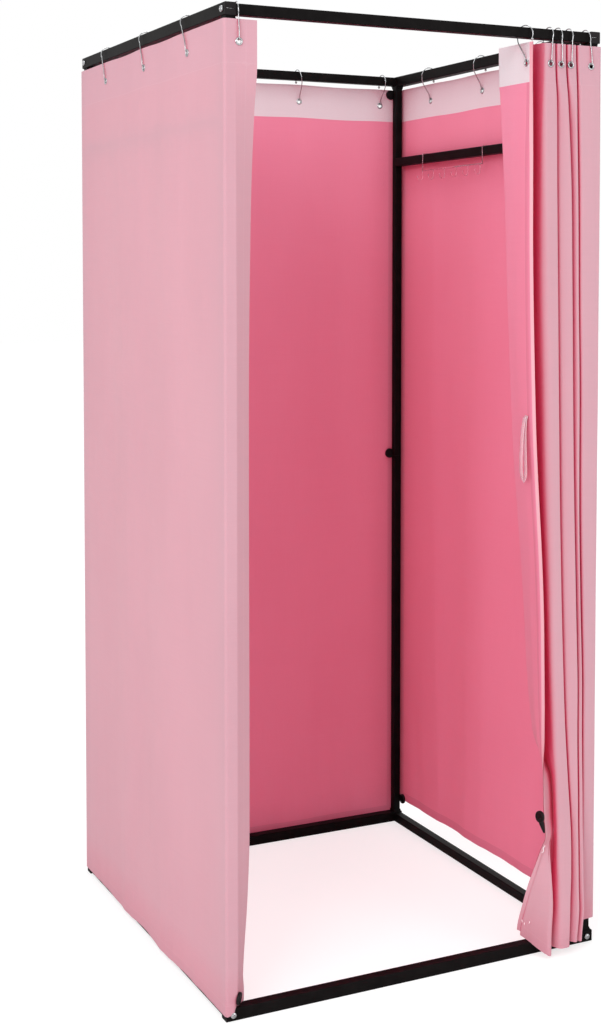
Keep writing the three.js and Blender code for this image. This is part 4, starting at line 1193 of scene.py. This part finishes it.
def add_magnet(node, centre, axis, body):
    r, half = MAGNET_RADIUS, MAGNET_THICK / 2
    profile = [
        (0, -half), (r - 0.0012, -half), (r - 0.0003, -half + 0.0004), (r, -half + 0.0012),
        (r, half - 0.0014), (r - 0.0004, half - 0.0004), (r - 0.0013, half), (r - 0.0024, half - 0.0001),
        (r - 0.0031, half - 0.0006), (r * 0.5, half - 0.0004), (0, half - 0.0002),
    ]
    disc = lathe(profile, 48, centre, axis)
    add_piece(node.replace("magnet", "disc_magnet"), disc, PLASTIC, body, node)


for node in ("magnet_back_top", "magnet_back_middle", "magnet_right_bottom"):
    add_magnet(node, box_middle(node), (0, -1, 0) if "back" in node else (-1, 0, 0), "frame")
wrap_column = first_cloth.columns.index(("leg", 3, 0.0)) + 1
seat, axis = first_cloth.spot(wrap_column, WRAP_MAGNET_Z, MAGNET_THICK / 2 + MAGNET_GAP)
add_magnet("magnet_front_left", seat, axis, "frame")
add_magnet("magnet_leading_edge", MAGNET_PLACE, (-0.9, -0.12, 0.1), "leading_edge")

# A tapered black tongue from the magnet towards the free edge
tongue = [
    (0, 0), (0.0052, 0.0006), (0.0062, 0.004), (0.0052, 0.018), (0.0034, 0.030), (0.0018, 0.037), (0, 0.038)
]
tail = lathe(tongue, 20, MAGNET_PLACE, (0.24, -0.10, -0.96))
add_piece("magnet_tail", tail, PLASTIC, "leading_edge")


# The rack of clear-coated wire on the right bar

def arc_across(x, y, z, radius, start, end, count):
    """Points of an arc in the plane across X."""
    turns = [start + (end - start) * k / count for k in range(count + 1)]
    return [Vector((x, y + radius * math.cos(turn), z + radius * math.sin(turn))) for turn in turns]


def rack_parts():
    wire, span, pitch, first, drop = 0.0021, 0.284, 0.055, -0.132, 0.020
    bar, bend, strap_end, length, curl, tip = 0.011, 0.003, 0.006, 0.025, 0.007, 0.004
    side = bar + SEAT_GAP + wire / 2
    inner = side - bend
    low = -bar - drop
    bottom = low - length + curl
    quarter = math.pi / 2
    parts = []

    def add_wire(path, ends, round_off):
        parts.append(tube(path, wire / 2))
        for end in ends:
            parts.append(sphere(path[end], wire / 2 * round_off, 12, 6))

    for x in (-span / 2, span / 2):
        path = [Vector((x, -side, inner - strap_end))]
        path += arc_across(x, -inner, inner, bend, math.pi, quarter, 8)
        path += arc_across(x, inner, inner, bend, quarter, 0, 8)
        path += [Vector((x, side, -0.01)), Vector((x, side, low))]
        add_wire(path, (0, -1), 1.02)
    add_wire([Vector((x, side, low)) for x in (-span / 2 - 0.001, 0, span / 2 + 0.001)], (), 0)
    for k in range(6):
        x = first + k * pitch
        path = [Vector((x, side, low)), Vector((x, side, (low + bottom) / 2))]
        path += arc_across(x, side + curl, bottom, curl, math.pi, 2 * math.pi, 12)
        path.append(Vector((x, side + 2 * curl, bottom + tip)))
        add_wire(path, (-1,), 1.25)
    points, faces = joined(parts)
    place = Matrix.Translation((0.129, -(OUTER_X - RAIL_INSET), 1.776))
    turn = Matrix.Rotation(math.pi / 2, 4, "Z") @ place
    return [turn @ p for p in points], faces


add_piece("clear_wire_rack", rack_parts(), CLEAR_WITH_PAINTED_PINK, "rack", "hook_rack")


# Silver lines in the plugs' slots

CLIP_HALF, CLIP_RADIUS, CLIP_DEEP = 0.0078, 0.00045, 0.0007
for node in [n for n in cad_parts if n.startswith("plug_")]:
    low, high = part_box(node)
    y = low.y + CLIP_DEEP if low.y < 0 else high.y - CLIP_DEEP
    x, z = (low.x + high.x) / 2, (low.z + high.z) / 2
    clip = tube([Vector((x + CLIP_HALF * k, y, z)) for k in (-1, 0, 1)], CLIP_RADIUS)
    add_piece(node.replace("plug", "plug_clip"), clip, STEEL, "frame")


# Trimmings of the free edge

HEM_COLUMN = 9  # on the free edge's hem


def tape():
    """A loop of narrow tape sewn to the side hem, with one end hanging longer."""
    root, normal = second_cloth.spot(HEM_COLUMN, TAPE_Z, face=1)
    row = second_cloth.row_at(HEM_COLUMN, TAPE_Z, face=1)
    inwards = (Vector(second_cloth.faces[1][row, HEM_COLUMN + 3]) - root).normalized()
    steps_mm = [
        (0, 0, 0), (1, -10, 2), (2, -35, 3), (1, -65, 3), (-1, -95, 3), (-1, -122, 2), (0, -134, 3),
        (2, -139, 5), (4, -134, 8), (5, -118, 10), (4, -90, 11), (3, -60, 10), (3, -30, 8), (2, -10, 5),
        (2, -3, 3),
    ]
    path = []
    for a, up, out in steps_mm:
        path.append(root + normal * TAPE_OFF + (inwards * a + Vector((0, 0, up)) + normal * out) / 1000)
    points, places, run = [], [], 0.0
    for i, (p, ahead) in enumerate(zip(path, directions(path))):
        wide = ahead.cross(normal).normalized()
        run += (p - path[i - 1]).length if i else 0
        for a, b in ((-1, -1), (1, -1), (1, 1), (-1, 1)):
            points.append(p + wide * TAPE_HALF * a + normal * TAPE_THICK / 2 * b)
            places.append((a * TAPE_HALF, run))
    piece = add_piece("tape_loop", (points, skin(len(path), 4)), TAPE, "leading_edge")
    set_flat_places(piece.data, places)


tape()


def threads():
    """The knot where the free edge turns over, and a few hand stitches near its lower corner."""
    def on_cloth(column, z, lift):
        spot = second_cloth.spot(column, z, lift)[0]
        return Vector((spot.x, spot.y, z))

    knot = [on_cloth(HEM_COLUMN, 0.234, 0.001)]
    for k in range(17):
        low, high = (on_cloth(column, 0.238 - 0.0009 * k, 0.0012) for column in (2, HEM_COLUMN))
        knot.append(low.lerp(high, 0.5 + 0.5 * math.cos(2.1 * k)))
    parts = [tube(knot, 0.0009, 8)]
    for column, z in ((7, 0.064), (8, 0.068), (9, 0.061), (11, 0.066)):
        stitch = [on_cloth(column, z + up, lift) for up, lift in ((0, 0), (0.002, 0.0012), (0.005, 0))]
        parts.append(tube(stitch, 0.0008, 8))
    add_piece("hem_threads", joined(parts), COTTON, "leading_edge")


threads()


# Materials of the pieces that stay as they are

for name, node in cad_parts.items():
    material = PAINT if name.startswith(("rail_", "post_", "clothes_bar_")) else None
    material = PLASTIC[0] if name.startswith("plug_") else material
    if material:
        node.data.materials.clear()
        node.data.materials.append(material)


# Floor, background and light

WORLD_LIGHT = 0.96
FLOOR_HALF = 30


def floor():
    n = Nodes("pale_floor")
    seen = n.add("ShaderNodeLightPath").outputs["Is Camera Ray"]
    cloud = n.ramp(n.noise(n.place(), 0.8, 2), 0.3, 0.7)
    n.set(Base_Color=n.mix(seen, grey(0.86), n.mix(cloud, grey(0.44), grey(0.46))))
    n.set(Emission_Color=grey(1), Emission_Strength=n.times(seen, 0.63))
    n.set(Roughness=0.9, Specular_IOR_Level=0.0)
    points = [(x * FLOOR_HALF, y * FLOOR_HALF, 0) for x, y in ((-1, -1), (1, -1), (1, 1), (-1, 1))]
    new_object("floor", points, [(0, 1, 2, 3)], [n.owner])


def background():
    """White to the camera and in gloss and glass, and a softer light on the object."""
    world = bpy.data.worlds.new("studio")
    bpy.context.scene.world = world
    n = Nodes("studio", world)
    n.set(Color=grey(1), Strength=WORLD_LIGHT)
    white = n.add("ShaderNodeBackground", {"Color": grey(1), "Strength": 1.0})
    ray = n.add("ShaderNodeLightPath").outputs
    seen = n.math("MAXIMUM", ray["Is Glossy Ray"], ray["Is Transmission Ray"])
    n.show(n.math("MAXIMUM", ray["Is Camera Ray"], seen), n.shader, white)


def soft_lamp(name, place, target, size, watts):
    data = bpy.data.lights.new(name, "AREA")
    data.shape = "RECTANGLE"
    data.size, data.size_y = size
    data.energy = watts
    lamp = bpy.data.objects.new(name, data)
    bpy.context.scene.collection.objects.link(lamp)
    lamp.location = place
    lamp.rotation_euler = (Vector(target) - Vector(place)).to_track_quat("-Z", "Y").to_euler()
    lamp.visible_camera = False


floor()
background()
soft_lamp("key", (-4.0, -3.2, 3.0), (0, 0, 1.0), (2.6, 2.6), 132)
soft_lamp("fill", (2.2, -4.2, 1.7), (0, 0.2, 1.0), (2.0, 2.4), 34)
soft_lamp("top", (-0.1, -0.3, 3.6), (0.1, 0.2, 1.0), (0.9, 0.9), 15)
bpy.context.scene.view_settings.view_transform = "Standard"
